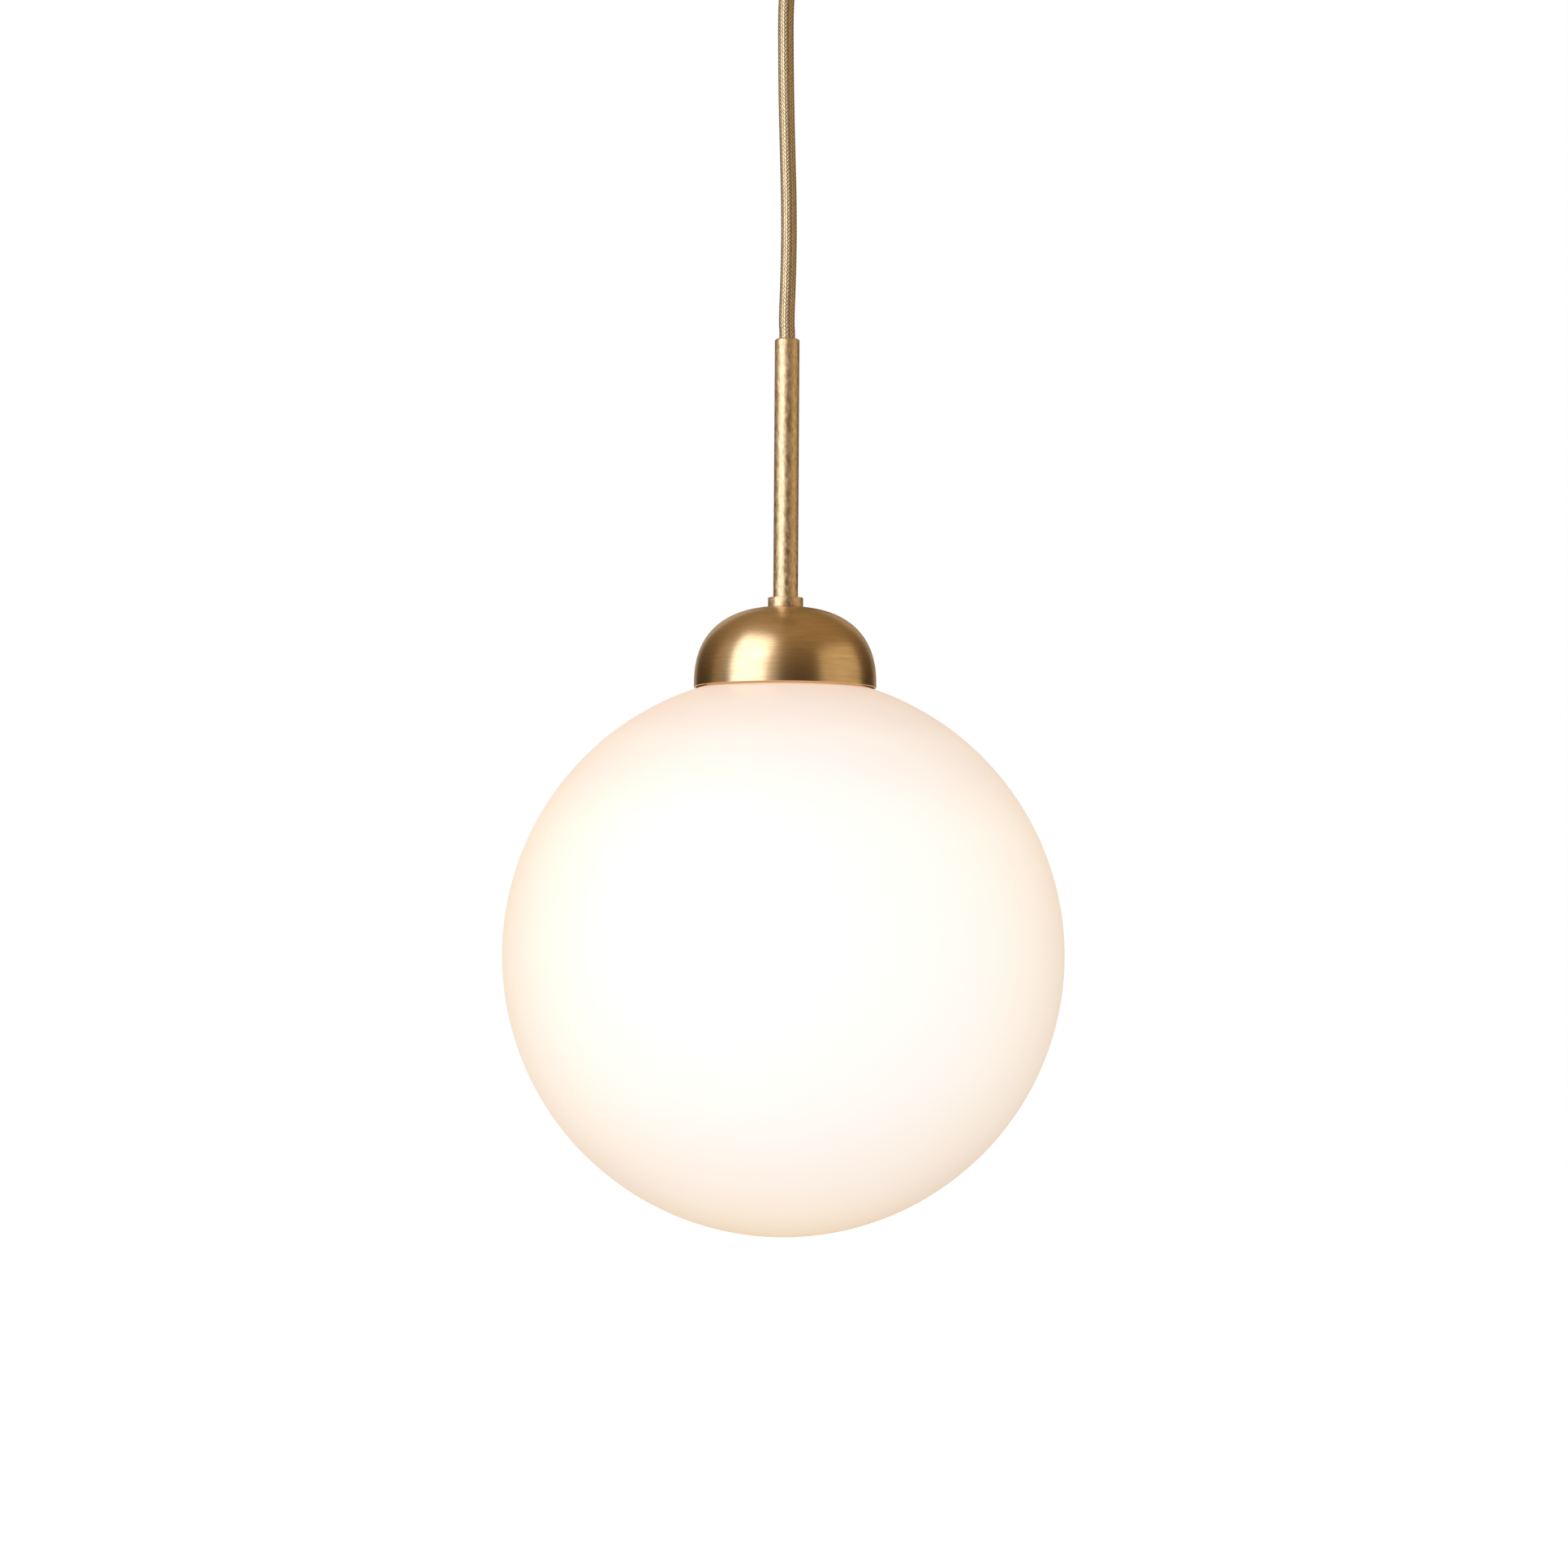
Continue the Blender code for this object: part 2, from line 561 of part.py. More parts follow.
def make_cord_grip(materials, body):
    """The hollow threaded grip that holds the cord in the canopy, its nut and its clamping screw."""
    height = GRIP_TOP_Z - GRIP_BOTTOM_Z
    outline = [
        (GRIP_BORE, 0),
        (GRIP_FLANGE_RADIUS - GRIP_CHAMFER, 0),
        (GRIP_FLANGE_RADIUS, GRIP_CHAMFER),
        (GRIP_FLANGE_RADIUS, GRIP_FLANGE),
        (GRIP_RADIUS, GRIP_FLANGE),
        (GRIP_RADIUS, height),
        (GRIP_BORE, height),
    ]
    at = at_height(GRIP_BOTTOM_Z)
    grip = add_turned("cord_grip", outline, at, materials["satin_brass"], body)
    screw_z = GRIP_TOP_Z - GRIP_SCREW_DROP
    hole = rod_mesh(GRIP_SCREW_HOLE, GRIP_RADIUS)
    combine(grip, hole, Vector((GRIP_RADIUS, 0, screw_z)), "DIFFERENCE", ACROSS)
    at = Vector((GRIP_RADIUS + GRIP_SCREW_STAND, 0, screw_z))
    inward = Vector((-1, 0, 0))
    add_screw("cord_grip_screw", at, inward, GRIP_SCREW, materials["white_nylon"], body)
    at = at_height(CANOPY_BOTTOM_Z + CANOPY_WALL + GAP)
    bore = GRIP_RADIUS + GAP
    add_nut("cord_grip_nut", GRIP_NUT_HEIGHT, bore, at, materials["zinc_steel"], body)


def make_terminal_block(materials, body):
    """The three-pole block under the bracket: a wire bore and a screw well for each pole."""
    middle = Vector((BLOCK_X, 0, UNDER_BRACKET_Z - BLOCK_SIZE.z / 2))
    block = add_mesh(
        "terminal_block", box_mesh(BLOCK_SIZE), middle, materials["white_nylon"], body
    )
    bevel(block, BLOCK_EDGE)
    well_floor = WIRE_Z - WIRE_BORE_RADIUS - BLOCK_WELL_FLOOR
    for name, y in pole_places():
        bore = rod_mesh(WIRE_BORE_RADIUS, 1.2 * BLOCK_SIZE.x)
        combine(block, bore, Vector((BLOCK_X, y, WIRE_Z)), "DIFFERENCE", ACROSS)
        well = rod_mesh(SCREW_HOLE_RADIUS, BLOCK_SIZE.z)
        well_middle = Vector((BLOCK_X, y, well_floor - BLOCK_SIZE.z / 2))
        combine(block, well, well_middle, "DIFFERENCE")
        at = Vector((BLOCK_X, y, well_floor - BLOCK_SCREW_DEPTH))
        add_screw(f"block_screw_{name}", at, UP, BLOCK_SCREW, materials["nickel"], body)


def pole_places():
    """Each pole's name and its place along the block."""
    return [("live", BLOCK_POLE_SPACING), ("earth", 0.0), ("neutral", -BLOCK_POLE_SPACING)]


def make_earth_point(materials, body):
    """The ring tag and the screw that earth the bracket."""
    thickness = EARTH_TAG_TAIL.z
    at = Vector((EARTH_SCREW_X, 0, UNDER_BRACKET_Z - thickness))
    outline = ring_outline(SCREW_HOLE_RADIUS, EARTH_TAG_RADIUS, 0, thickness)
    tag = add_turned("earth_tag", outline, at, materials["nickel"], body)
    middle = at + Vector((0, -EARTH_TAG_TAIL.y, thickness / 2))
    combine(tag, box_mesh(EARTH_TAG_TAIL), middle, "UNION")
    add_screw("earth_screw", at - UP * GAP, UP, EARTH_SCREW, materials["nickel"], body)


def make_ceiling_wiring(materials, body):
    """The cord's end above the grip, its three cores to the block, and the earth link."""
    sheath_top = GRIP_TOP_Z + TAIL_STAND
    sheath = [(0, 0, PIVOT_Z + SWING_ROOM), (0, 0, -24 * MM), (0, 0, -18 * MM), (0, 0, sheath_top)]
    add_cable("cord_tail", sheath, TAIL_STEP, CORD_RADIUS, materials["textile"], body)
    entry_x = BLOCK_X + BLOCK_SIZE.x / 2
    for name, y in pole_places():
        side = y / BLOCK_POLE_SPACING
        start_x = 1.6 * MM - 2.4 * MM * abs(side)
        route = [
            (start_x, 1.35 * MM * side, sheath_top + GAP),
            (start_x, 1.8 * MM * side, sheath_top + 2.0 * MM),
            (start_x - 2.4 * MM, 4.2 * MM * side, WIRE_Z - 0.8 * MM),
            (-7.0 * MM, 0.95 * y, WIRE_Z),
            (entry_x, y, WIRE_Z),
            (BLOCK_X + 3.0 * MM, y, WIRE_Z),
        ]
        finish = materials[CORE_FINISHES[name]]
        add_cable(f"ceiling_core_{name}", route, CORE_STEP, CORE_RADIUS, finish, body)
    finish = materials[CORE_FINISHES["earth"]]
    add_cable("earth_link", EARTH_LINK_ROUTE, CORE_STEP, CORE_RADIUS, finish, body)


def make_exit_bush(materials, body):
    """The bell-mouthed bush under the grip that the cord swings in."""
    lip_z = EXIT_BUSH_LIP - EXIT_BUSH_HEIGHT
    outline = [
        (EXIT_BUSH_BORE, 0),
        *arc(EXIT_BUSH_MOUTH, lip_z, EXIT_BUSH_LIP, 200, 340, 5),
        (EXIT_BUSH_RADIUS, -EXIT_BUSH_CHAMFER),
        (EXIT_BUSH_RADIUS - EXIT_BUSH_CHAMFER, 0),
    ]
    add_turned("cord_exit_bush", outline, at_height(PIVOT_Z), materials["satin_brass"], body)


def make_cord(materials, body):
    route = [(x, 0, z) for x, z in CORD_ROUTE]
    add_cable("cord", route, CORD_STEP, CORD_RADIUS, materials["textile"], body)


def make_stem(materials, body):
    """The slim tube, with a chamfered top edge and a nylon bush that centres the cord."""
    length = STEM_TOP_Z - STEM_BOTTOM_Z
    outline = [
        (STEM_BORE, 0),
        (STEM_RADIUS, 0),
        (STEM_RADIUS, length - STEM_CHAMFER),
        (STEM_RADIUS - STEM_CHAMFER, length),
        (STEM_BORE, length),
    ]
    at = at_height(STEM_BOTTOM_Z)
    add_turned("stem", outline, at, materials["satin_brass"], body)
    outer = STEM_BORE - GAP
    bush = ring_outline(outer - STEM_BUSH_WALL, outer, -STEM_BUSH_LENGTH, 0)
    at = at_height(STEM_TOP_Z - GAP)
    add_turned("stem_bush", bush, at, materials["white_nylon"], body)


def make_cap(materials, body):
    """The collar and the domed cap under it."""
    hole = STEM_RADIUS + GAP
    collar = [
        (hole, 0),
        (COLLAR_RADIUS, 0),
        (COLLAR_RADIUS, COLLAR_HEIGHT - COLLAR_EDGE),
        (COLLAR_RADIUS - COLLAR_EDGE, COLLAR_HEIGHT),
        (hole, COLLAR_HEIGHT),
    ]
    at = at_height(CAP_TOP_Z + GAP)
    add_turned("collar", collar, at, materials["satin_brass"], body)
    outline = dome_shell(CAP_RADIUS, CAP_HEIGHT, CAP_WALL, hole)
    at = at_height(CAP_RIM_Z)
    add_turned("cap", outline, at, materials["brushed_brass"], body, ROUND)


def make_glass_carrier(materials, body):
    """The pressed steel cup inside the cap. Its skirt's thread holds the globe's neck."""
    crown = CARRIER_TOP_Z - CARRIER_SHELF_Z
    wall = CARRIER_WALL
    skirt_outer = CARRIER_SKIRT_BORE + wall
    skirt_bottom = CARRIER_SKIRT_Z - CARRIER_SHELF_Z
    hole = STEM_RADIUS + GAP
    outline = [
        (hole, crown),
        (CARRIER_CROWN_RADIUS, crown),
        (CARRIER_SHOULDER_RADIUS, wall),
        (skirt_outer, wall),
        (skirt_outer, skirt_bottom),
        (CARRIER_SKIRT_BORE, skirt_bottom),
        (CARRIER_SKIRT_BORE, 0),
        (CARRIER_SHOULDER_RADIUS - wall, 0),
        (CARRIER_CROWN_RADIUS - CARRIER_CROWN_TAPER, crown - wall),
        (hole, crown - wall),
    ]
    at = at_height(CARRIER_SHELF_Z)
    carrier = add_turned("glass_carrier", outline, at, materials["zinc_steel"], body, ROUND)
    root = CARRIER_SKIRT_BORE + wall / 2
    ridge = ridge_mesh(
        root, CARRIER_RIDGE_CREST, NECK_RIDGE_WIDTH, NECK_PITCH, CARRIER_RIDGE_TURNS
    )
    start = at_height(NECK_THREAD_Z - NECK_RIDGE_WIDTH - THREAD_GAP + THREAD_OFFSET * NECK_PITCH)
    combine(carrier, ridge, start, "UNION", (0, 0, THREAD_OFFSET * math.tau))


def make_cap_fixings(materials, body):
    """The washer and the nut that clamp the cap and the carrier up against the collar."""
    hole = STEM_RADIUS + GAP
    steel = materials["zinc_steel"]
    washer = ring_outline(hole, WASHER_RADIUS, -WASHER_HEIGHT, 0)
    add_turned("lock_washer", washer, at_height(WASHER_TOP_Z), steel, body)
    add_nut("lock_nut", NUT_HEIGHT, hole, at_height(NUT_BOTTOM_Z), steel, body)


def make_holder(materials, body):
    """The lamp holder's two housings, ceramic insert, threaded sleeve and contacts."""
    make_holder_cap(materials, body)
    make_holder_body(materials, body)
    make_holder_insert(materials, body)
    make_holder_sleeve(materials, body)
    make_contacts(materials, body)


def make_holder_cap(materials, body):
    """The upper housing, which the lock screw fixes to the stem."""
    bore = STEM_RADIUS + GAP
    height = HOLDER_TOP_Z - HOLDER_SPLIT_Z
    neck_z = height - HOLDER_NECK_HEIGHT
    inner_radius = HOLDER_RADIUS - HOLDER_WALL
    shoulder_r = HOLDER_RADIUS - HOLDER_SHOULDER
    shoulder_z = neck_z - HOLDER_SHOULDER
    outline = [
        (bore, height),
        (HOLDER_NECK_RADIUS, height),
        (HOLDER_NECK_RADIUS, neck_z),
        *arc(shoulder_r, shoulder_z, HOLDER_SHOULDER, 90, 0, 3),
        (HOLDER_RADIUS, 0),
        (inner_radius, 0),
        *arc(shoulder_r, shoulder_z, HOLDER_SHOULDER - HOLDER_WALL, 0, 90, 3),
        (bore, neck_z - HOLDER_WALL),
    ]
    black = materials["black_plastic"]
    holder_cap = add_turned("holder_cap", outline, at_height(HOLDER_SPLIT_Z), black, body)
    at = Vector((HOLDER_NECK_RADIUS, 0, HOLDER_TOP_Z - LOCK_SCREW_DROP))
    combine(holder_cap, rod_mesh(LOCK_SCREW_HOLE, HOLDER_NECK_RADIUS), at, "DIFFERENCE", ACROSS)
    inward = Vector((-1, 0, 0))
    steel = materials["zinc_steel"]
    add_screw("holder_lock_screw", at, inward, HOLDER_LOCK_SCREW, steel, body)


def make_holder_body(materials, body):
    """The lower housing, with a lip round the sleeve."""
    inner_radius = HOLDER_RADIUS - HOLDER_WALL
    lip_bore = SLEEVE_BORE + SLEEVE_WALL + GAP
    top = HOLDER_SPLIT_Z - GAP - HOLDER_BOTTOM_Z
    outline = [
        (lip_bore, 0),
        (HOLDER_RADIUS - HOLDER_CHAMFER, 0),
        (HOLDER_RADIUS, HOLDER_CHAMFER),
        (HOLDER_RADIUS, top),
        (inner_radius, top),
        (inner_radius, HOLDER_LIP_HEIGHT),
        (lip_bore, HOLDER_LIP_HEIGHT),
    ]
    black = materials["black_plastic"]
    add_turned("holder_body", outline, at_height(HOLDER_BOTTOM_Z), black, body)


def terminal_places():
    """Each terminal's name and its direction from the holder's axis."""
    return [
        (name, Vector((math.cos(angle), math.sin(angle), 0)))
        for name, angle in (("live", 0), ("earth", math.tau / 3), ("neutral", 2 * math.tau / 3))
    ]


def make_holder_insert(materials, body):
    """The ceramic insert, with a wire hole and a screw for each terminal."""
    outline = [
        (0, 0),
        (INSERT_RADIUS, 0),
        (INSERT_RADIUS, INSERT_HEIGHT - INSERT_CHAMFER),
        (INSERT_RADIUS - INSERT_CHAMFER, INSERT_HEIGHT),
        (0, INSERT_HEIGHT),
    ]
    at = at_height(INSERT_BOTTOM_Z)
    insert = add_turned("holder_insert", outline, at, materials["ceramic"], body)
    top = at_height(INSERT_TOP_Z)
    nickel = materials["nickel"]
    for name, away in terminal_places():
        screw_top = top + away * TERMINAL_SCREW_R
        screw_hole = rod_mesh(WIRE_BORE_RADIUS, TERMINAL_SCREW_HOLE)
        combine(insert, screw_hole, screw_top, "DIFFERENCE")
        wire_hole = rod_mesh(WIRE_BORE_RADIUS, TERMINAL_WIRE_HOLE)
        combine(insert, wire_hole, top + away * TERMINAL_WIRE_R, "DIFFERENCE")
        under_head = screw_top + UP * GAP
        add_screw(f"holder_screw_{name}", under_head, -UP, TERMINAL_SCREW, nickel, body)


def make_holder_sleeve(materials, body):
    """The threaded metal sleeve that the bulb screws into."""
    outer = SLEEVE_BORE + SLEEVE_WALL
    height = SLEEVE_TOP_Z - SLEEVE_BOTTOM_Z
    outline = [
        (SLEEVE_BORE, 0),
        (outer, 0),
        (outer, height - SLEEVE_WALL),
        (INSERT_RADIUS, height - SLEEVE_WALL),
        (INSERT_RADIUS, height),
        (SLEEVE_BORE, height),
    ]
    at = at_height(SLEEVE_BOTTOM_Z)
    sleeve = add_turned("holder_sleeve", outline, at, materials["nickel"], body)
    root = SLEEVE_BORE + SLEEVE_WALL / 2
    ridge = ridge_mesh(
        root, SLEEVE_RIDGE_CREST, BULB_RIDGE_WIDTH, SCREW_PITCH, SLEEVE_RIDGE_TURNS
    )
    start = at_height(BULB_THREAD_Z - BULB_RIDGE_WIDTH - THREAD_GAP + THREAD_OFFSET * SCREW_PITCH)
    combine(sleeve, ridge, start, "UNION", (0, 0, THREAD_OFFSET * math.tau))


def make_contacts(materials, body):
    """The spring tongue that meets the bulb's tip, and the strip that feeds the sleeve."""
    foot_z = INSERT_BOTTOM_Z - GAP
    tip_z = BULB_TIP_Z + GAP - foot_z
    tongue = [
        (-9.0 * MM, 0),
        (-9.0 * MM, -CONTACT_STRIP),
        (-5.0 * MM, -CONTACT_STRIP),
        (-2.0 * MM, tip_z),
        (3.0 * MM, tip_z),
        (3.0 * MM, tip_z + CONTACT_STRIP),
        (-1.8 * MM, tip_z + CONTACT_STRIP),
        (-4.8 * MM, 0),
    ]
    flange_z = SLEEVE_TOP_Z + GAP - foot_z
    feed = [
        (14.2 * MM, 0),
        (14.2 * MM, flange_z),
        (16.6 * MM, flange_z),
        (16.6 * MM, flange_z + CONTACT_STRIP),
        (14.8 * MM, flange_z + CONTACT_STRIP),
        (14.8 * MM, 0),
    ]
    at = Vector((0, CONTACT_WIDTH / 2, foot_z))
    for name, outline in (("centre_contact", tongue), ("side_contact", feed)):
        contact = add_mesh(name, prism_mesh(outline, CONTACT_WIDTH), at, materials["nickel"], body)
        contact.rotation_euler = (math.radians(90), 0, 0)


def make_lamp_wiring(materials, body):
    """The cord's three cores, from its end inside the holder to the terminals."""
    cord_end = CORD_ROUTE[-1][1]
    for name, away in terminal_places():
        route = [
            at_height(cord_end - GAP) + away * 1.7 * MM,
            at_height(cord_end - 2.5 * MM) + away * 2.4 * MM,
            at_height(cord_end - 5.0 * MM) + away * 5.2 * MM,
            at_height(INSERT_TOP_Z + 1.0 * MM) + away * TERMINAL_WIRE_R,
            at_height(INSERT_TOP_Z - 2.0 * MM) + away * TERMINAL_WIRE_R,
        ]
        finish = materials[CORE_FINISHES[name]]
        add_cable(f"lamp_core_{name}", route, CORE_STEP, CORE_RADIUS, finish, body)


def make_gasket(materials, body):
    """The silicone ring between the neck's top and the carrier's shelf."""
    outer = NECK_RADIUS + GASKET_LIP
    outline = ring_outline(NECK_RADIUS - GLASS - GASKET_LIP, outer, 0, GASKET_HEIGHT)
    at = at_height(GLOBE_Z + NECK_TOP + GAP)
    add_turned("globe_gasket", outline, at, materials["silicone"], body, ROUND)


def make_globe(materials, body):
    """The blown opal globe: one sphere of even thickness with a threaded neck, open at the top."""
    inner_radius = GLOBE_RADIUS - GLASS
    neck_bore = NECK_RADIUS - GLASS
    fillet_r = NECK_RADIUS + NECK_FILLET
    fillet_z = math.sqrt((GLOBE_RADIUS + NECK_FILLET) ** 2 - fillet_r**2)
    shoulder = math.degrees(math.atan2(fillet_z, fillet_r))
    inner_shoulder = math.degrees(math.acos(neck_bore / inner_radius))
    outline = [
        *arc(0, 0, GLOBE_RADIUS, -90, shoulder, 16),
        *arc(fillet_r, fillet_z, NECK_FILLET, shoulder + 180, 180, 2)[1:],
        (NECK_RADIUS, NECK_TOP),
        (neck_bore, NECK_TOP),
        *arc(0, 0, inner_radius, inner_shoulder, -90, 12),
    ]
    outline[0] = (0, -GLOBE_RADIUS)
    outline[-1] = (0, -inner_radius)
    globe = add_turned("globe", outline, at_height(GLOBE_Z), materials["opal_glass"], body, ROUND)
    root = NECK_RADIUS - GLASS / 2
    crest = NECK_RADIUS + NECK_RIDGE_HEIGHT
    ridge = ridge_mesh(root, crest, NECK_RIDGE_WIDTH, NECK_PITCH, NECK_RIDGE_TURNS)
    combine(globe, ridge, at_height(NECK_THREAD_Z), "UNION")


def make_bulb_tip(materials, body):
    """The solder tip on the bulb's axis."""
    outline = [
        (0, -BULB_TIP_HEIGHT),
        (BULB_TIP_RADIUS, -BULB_TIP_HEIGHT),
        (0.75 * BULB_TIP_RADIUS, -0.4 * BULB_TIP_HEIGHT),
        (0, 0),
    ]
    add_turned("bulb_tip_contact", outline, at_height(BULB_TIP_Z), materials["nickel"], body)


def make_bulb(materials, body):
    """A small globe bulb: insulator, threaded shell, housing, boards and diffuser."""
    make_bulb_base(materials, body)
    make_bulb_housing(materials, body)
    make_bulb_boards(materials, body)


def make_bulb_base(materials, body):
    """The insulator behind the tip, and the threaded shell."""
    insulator_top = BULB_TIP_Z - BULB_TIP_HEIGHT - GAP
    foot = BULB_SHELL_TOP_Z + GAP - insulator_top
    insulator = [(0, foot), (INSULATOR_RADIUS, foot), (INSULATOR_TIP_RADIUS, 0), (0, 0)]
    at = at_height(insulator_top)
    add_turned("bulb_insulator", insulator, at, materials["black_plastic"], body)
    height = BULB_SHELL_TOP_Z - BULB_SHELL_BOTTOM_Z
    root = BULB_THREAD_ROOT
    inner_shoulder = SHELL_SHOULDER + 0.3 * SHELL_WALL
    outline = [
        (root, 0),
        (root, height - SHELL_SHOULDER),
        (root - SHELL_SHOULDER, height),
        (SHELL_HOLE, height),
        (SHELL_HOLE, height - SHELL_WALL),
        (root - inner_shoulder, height - SHELL_WALL),
        (root - SHELL_WALL, height - inner_shoulder),
        (root - SHELL_WALL, 0),
    ]
    at = at_height(BULB_SHELL_BOTTOM_Z)
    shell = add_turned("bulb_screw_shell", outline, at, materials["nickel"], body)
    ridge = ridge_mesh(
        root - SHELL_WALL / 2,
        root + BULB_RIDGE_HEIGHT,
        BULB_RIDGE_WIDTH,
        SCREW_PITCH,
        BULB_RIDGE_TURNS,
    )
    combine(shell, ridge, at_height(BULB_THREAD_Z), "UNION")


def make_bulb_housing(materials, body):
    """The white housing that widens from the screw shell to the diffuser, and the diffuser."""
    seam = BULB_SEAM_Z - BULB_CENTRE_Z
    seam_radius = math.sqrt(BULB_RADIUS**2 - seam**2)
    height = BULB_SHELL_BOTTOM_Z - GAP - BULB_SEAM_Z
    neck = BULB_THREAD_ROOT + GAP
    waist = 0.5 * (seam_radius + neck)
    foot = seam_radius - HOUSING_FOOT_TAPER
    outline = [
        (seam_radius, 0),
        (foot, HOUSING_FOOT),
        (waist, 0.62 * height),
        (neck, height - HOUSING_NECK),
        (neck, height),
        (neck - HOUSING_WALL, height),
        (neck - HOUSING_WALL, height - HOUSING_NECK),
        (waist - HOUSING_WALL, 0.60 * height),
        (foot - HOUSING_WALL, HOUSING_FOOT),
        (seam_radius - HOUSING_WALL, 0),
    ]
    at = at_height(BULB_SEAM_Z)
    add_turned("bulb_housing", outline, at, materials["white_nylon"], body)
    top = math.degrees(math.asin((seam - GAP) / BULB_RADIUS))
    inner_radius = BULB_RADIUS - BULB_SKIN
    inner_top = math.degrees(math.asin((seam - GAP) / inner_radius))
    outline = [
        *arc(0, 0, BULB_RADIUS, -90, top, 9),
        *arc(0, 0, inner_radius, inner_top, -90, 7),
    ]
    outline[0] = (0, -BULB_RADIUS)
    outline[-1] = (0, -inner_radius)
    at = at_height(BULB_CENTRE_Z)
    add_turned("bulb_diffuser", outline, at, materials["bulb_diffuser"], body)


def make_bulb_boards(materials, body):
    """The round board that the light sources sit on, and the driver board that stands behind it."""
    board = materials["circuit_board"]
    outline = [
        (0, 0),
        (LIGHT_BOARD_RADIUS, 0),
        (LIGHT_BOARD_RADIUS, BOARD_THICKNESS),
        (0, BOARD_THICKNESS),
    ]
    at = at_height(BULB_SEAM_Z + LIGHT_BOARD_LIFT)
    add_turned("bulb_light_board", outline, at, board, body)
    middle = at_height(BULB_SEAM_Z + DRIVER_BOARD_LIFT + DRIVER_BOARD.z / 2)
    driver = add_mesh("bulb_driver_board", box_mesh(DRIVER_BOARD), middle, board, body)
    capacitor = rod_mesh(CAPACITOR_RADIUS, CAPACITOR_LENGTH)
    beside = middle + Vector((0, CAPACITOR_RADIUS, CAPACITOR_LIFT))
    combine(driver, capacitor, beside, "UNION")


def main():
    clear_scene()
    materials = make_materials()
    ceiling = make_body("ceiling", 0)
    make_bracket(materials, ceiling)
    make_canopy(materials, ceiling)
    make_canopy_screws(materials, ceiling)
    make_cord_grip(materials, ceiling)
    make_terminal_block(materials, ceiling)
    make_earth_point(materials, ceiling)
    make_ceiling_wiring(materials, ceiling)
    make_exit_bush(materials, make_body("swivel", PIVOT_Z))
    pendant = make_body("pendant", PIVOT_Z)
    make_cord(materials, pendant)
    make_stem(materials, pendant)
    make_cap(materials, pendant)
    make_glass_carrier(materials, pendant)
    make_cap_fixings(materials, pendant)
    make_holder(materials, pendant)
    make_lamp_wiring(materials, pendant)
    make_gasket(materials, make_body("globe_seal", GLOBE_Z))
    make_globe(materials, make_body("globe_glass", GLOBE_Z))
    make_bulb_tip(materials, make_body("bulb_tip", BULB_TIP_Z))
    make_bulb(materials, make_body("bulb", BULB_TIP_Z))


main()
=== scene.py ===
"""The looks of the pendant ceiling light: a lit opal globe in a brushed brass cap, hanging on a
satin brass stem and a braided textile cord from a brass canopy.

Metres, +Z up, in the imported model's frame: the origin is on the ceiling, on the lamp's axis.
"""

import json
import math

import bmesh
import bpy
import numpy as np
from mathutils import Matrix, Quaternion, Vector

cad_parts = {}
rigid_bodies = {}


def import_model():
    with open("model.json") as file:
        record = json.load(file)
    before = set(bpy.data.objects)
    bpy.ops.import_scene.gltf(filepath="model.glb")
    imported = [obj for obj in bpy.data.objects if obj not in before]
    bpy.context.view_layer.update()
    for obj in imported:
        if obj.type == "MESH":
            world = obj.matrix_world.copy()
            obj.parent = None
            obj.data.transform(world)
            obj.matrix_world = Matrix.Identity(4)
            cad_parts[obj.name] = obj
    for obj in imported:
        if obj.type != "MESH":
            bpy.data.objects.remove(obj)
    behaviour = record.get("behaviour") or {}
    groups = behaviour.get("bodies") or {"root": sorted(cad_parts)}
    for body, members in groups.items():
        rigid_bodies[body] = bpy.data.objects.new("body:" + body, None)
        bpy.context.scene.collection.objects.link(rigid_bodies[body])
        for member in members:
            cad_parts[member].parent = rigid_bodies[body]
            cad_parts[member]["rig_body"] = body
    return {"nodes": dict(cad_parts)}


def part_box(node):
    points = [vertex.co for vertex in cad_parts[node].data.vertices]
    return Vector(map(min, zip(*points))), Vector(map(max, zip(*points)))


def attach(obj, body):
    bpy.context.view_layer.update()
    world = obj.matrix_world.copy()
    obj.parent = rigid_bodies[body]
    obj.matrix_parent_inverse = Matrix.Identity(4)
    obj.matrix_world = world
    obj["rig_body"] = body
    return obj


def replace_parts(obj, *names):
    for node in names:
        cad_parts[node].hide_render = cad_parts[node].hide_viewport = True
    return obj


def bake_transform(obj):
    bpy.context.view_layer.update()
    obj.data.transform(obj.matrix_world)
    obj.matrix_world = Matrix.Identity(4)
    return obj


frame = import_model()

MM = 0.001

# Camera: level with the globe's middle, aimed above it so that the globe sits low in the picture,
# and rolled a little, for the small lean of a lamp on a cord
CAMERA_DISTANCE = 1.45
CAMERA_LENS = 82.9
CAMERA_OFFSET_X = -0.17 * MM
CAMERA_ROLL = math.radians(0.36)
CAMERA_CLIP = (0.05, 50.0)
AIM_ABOVE_GLOBE = 68.6 * MM

# Softboxes, which face a point LIGHTS_MIDDLE above the globe's middle: azimuth in degrees to the
# right of the camera, height above that point, distance, width and height in metres, radiance,
# colour
SOFTBOXES = {
    "key": (-48, 0.30, 1.2, 1.08, 2.2, 2.35, (0.96, 0.97, 1.0)),
    "warm_left": (-92, 0.10, 1.2, 0.45, 1.6, 0.24, (1.0, 0.72, 0.38)),
    "warm_right": (-15, 0.30, 1.2, 0.22, 2.0, 0.42, (1.0, 0.74, 0.42)),
    "fill": (77, 0.0, 1.2, 1.5, 1.7, 0.58, (1.0, 0.78, 0.48)),
    "back_left": (-163, 0.1, 1.4, 0.6, 1.6, 0.4, (1.0, 0.92, 0.80)),
    "back_right": (160, 0.1, 1.4, 0.6, 1.6, 0.3, (1.0, 0.86, 0.66)),
}
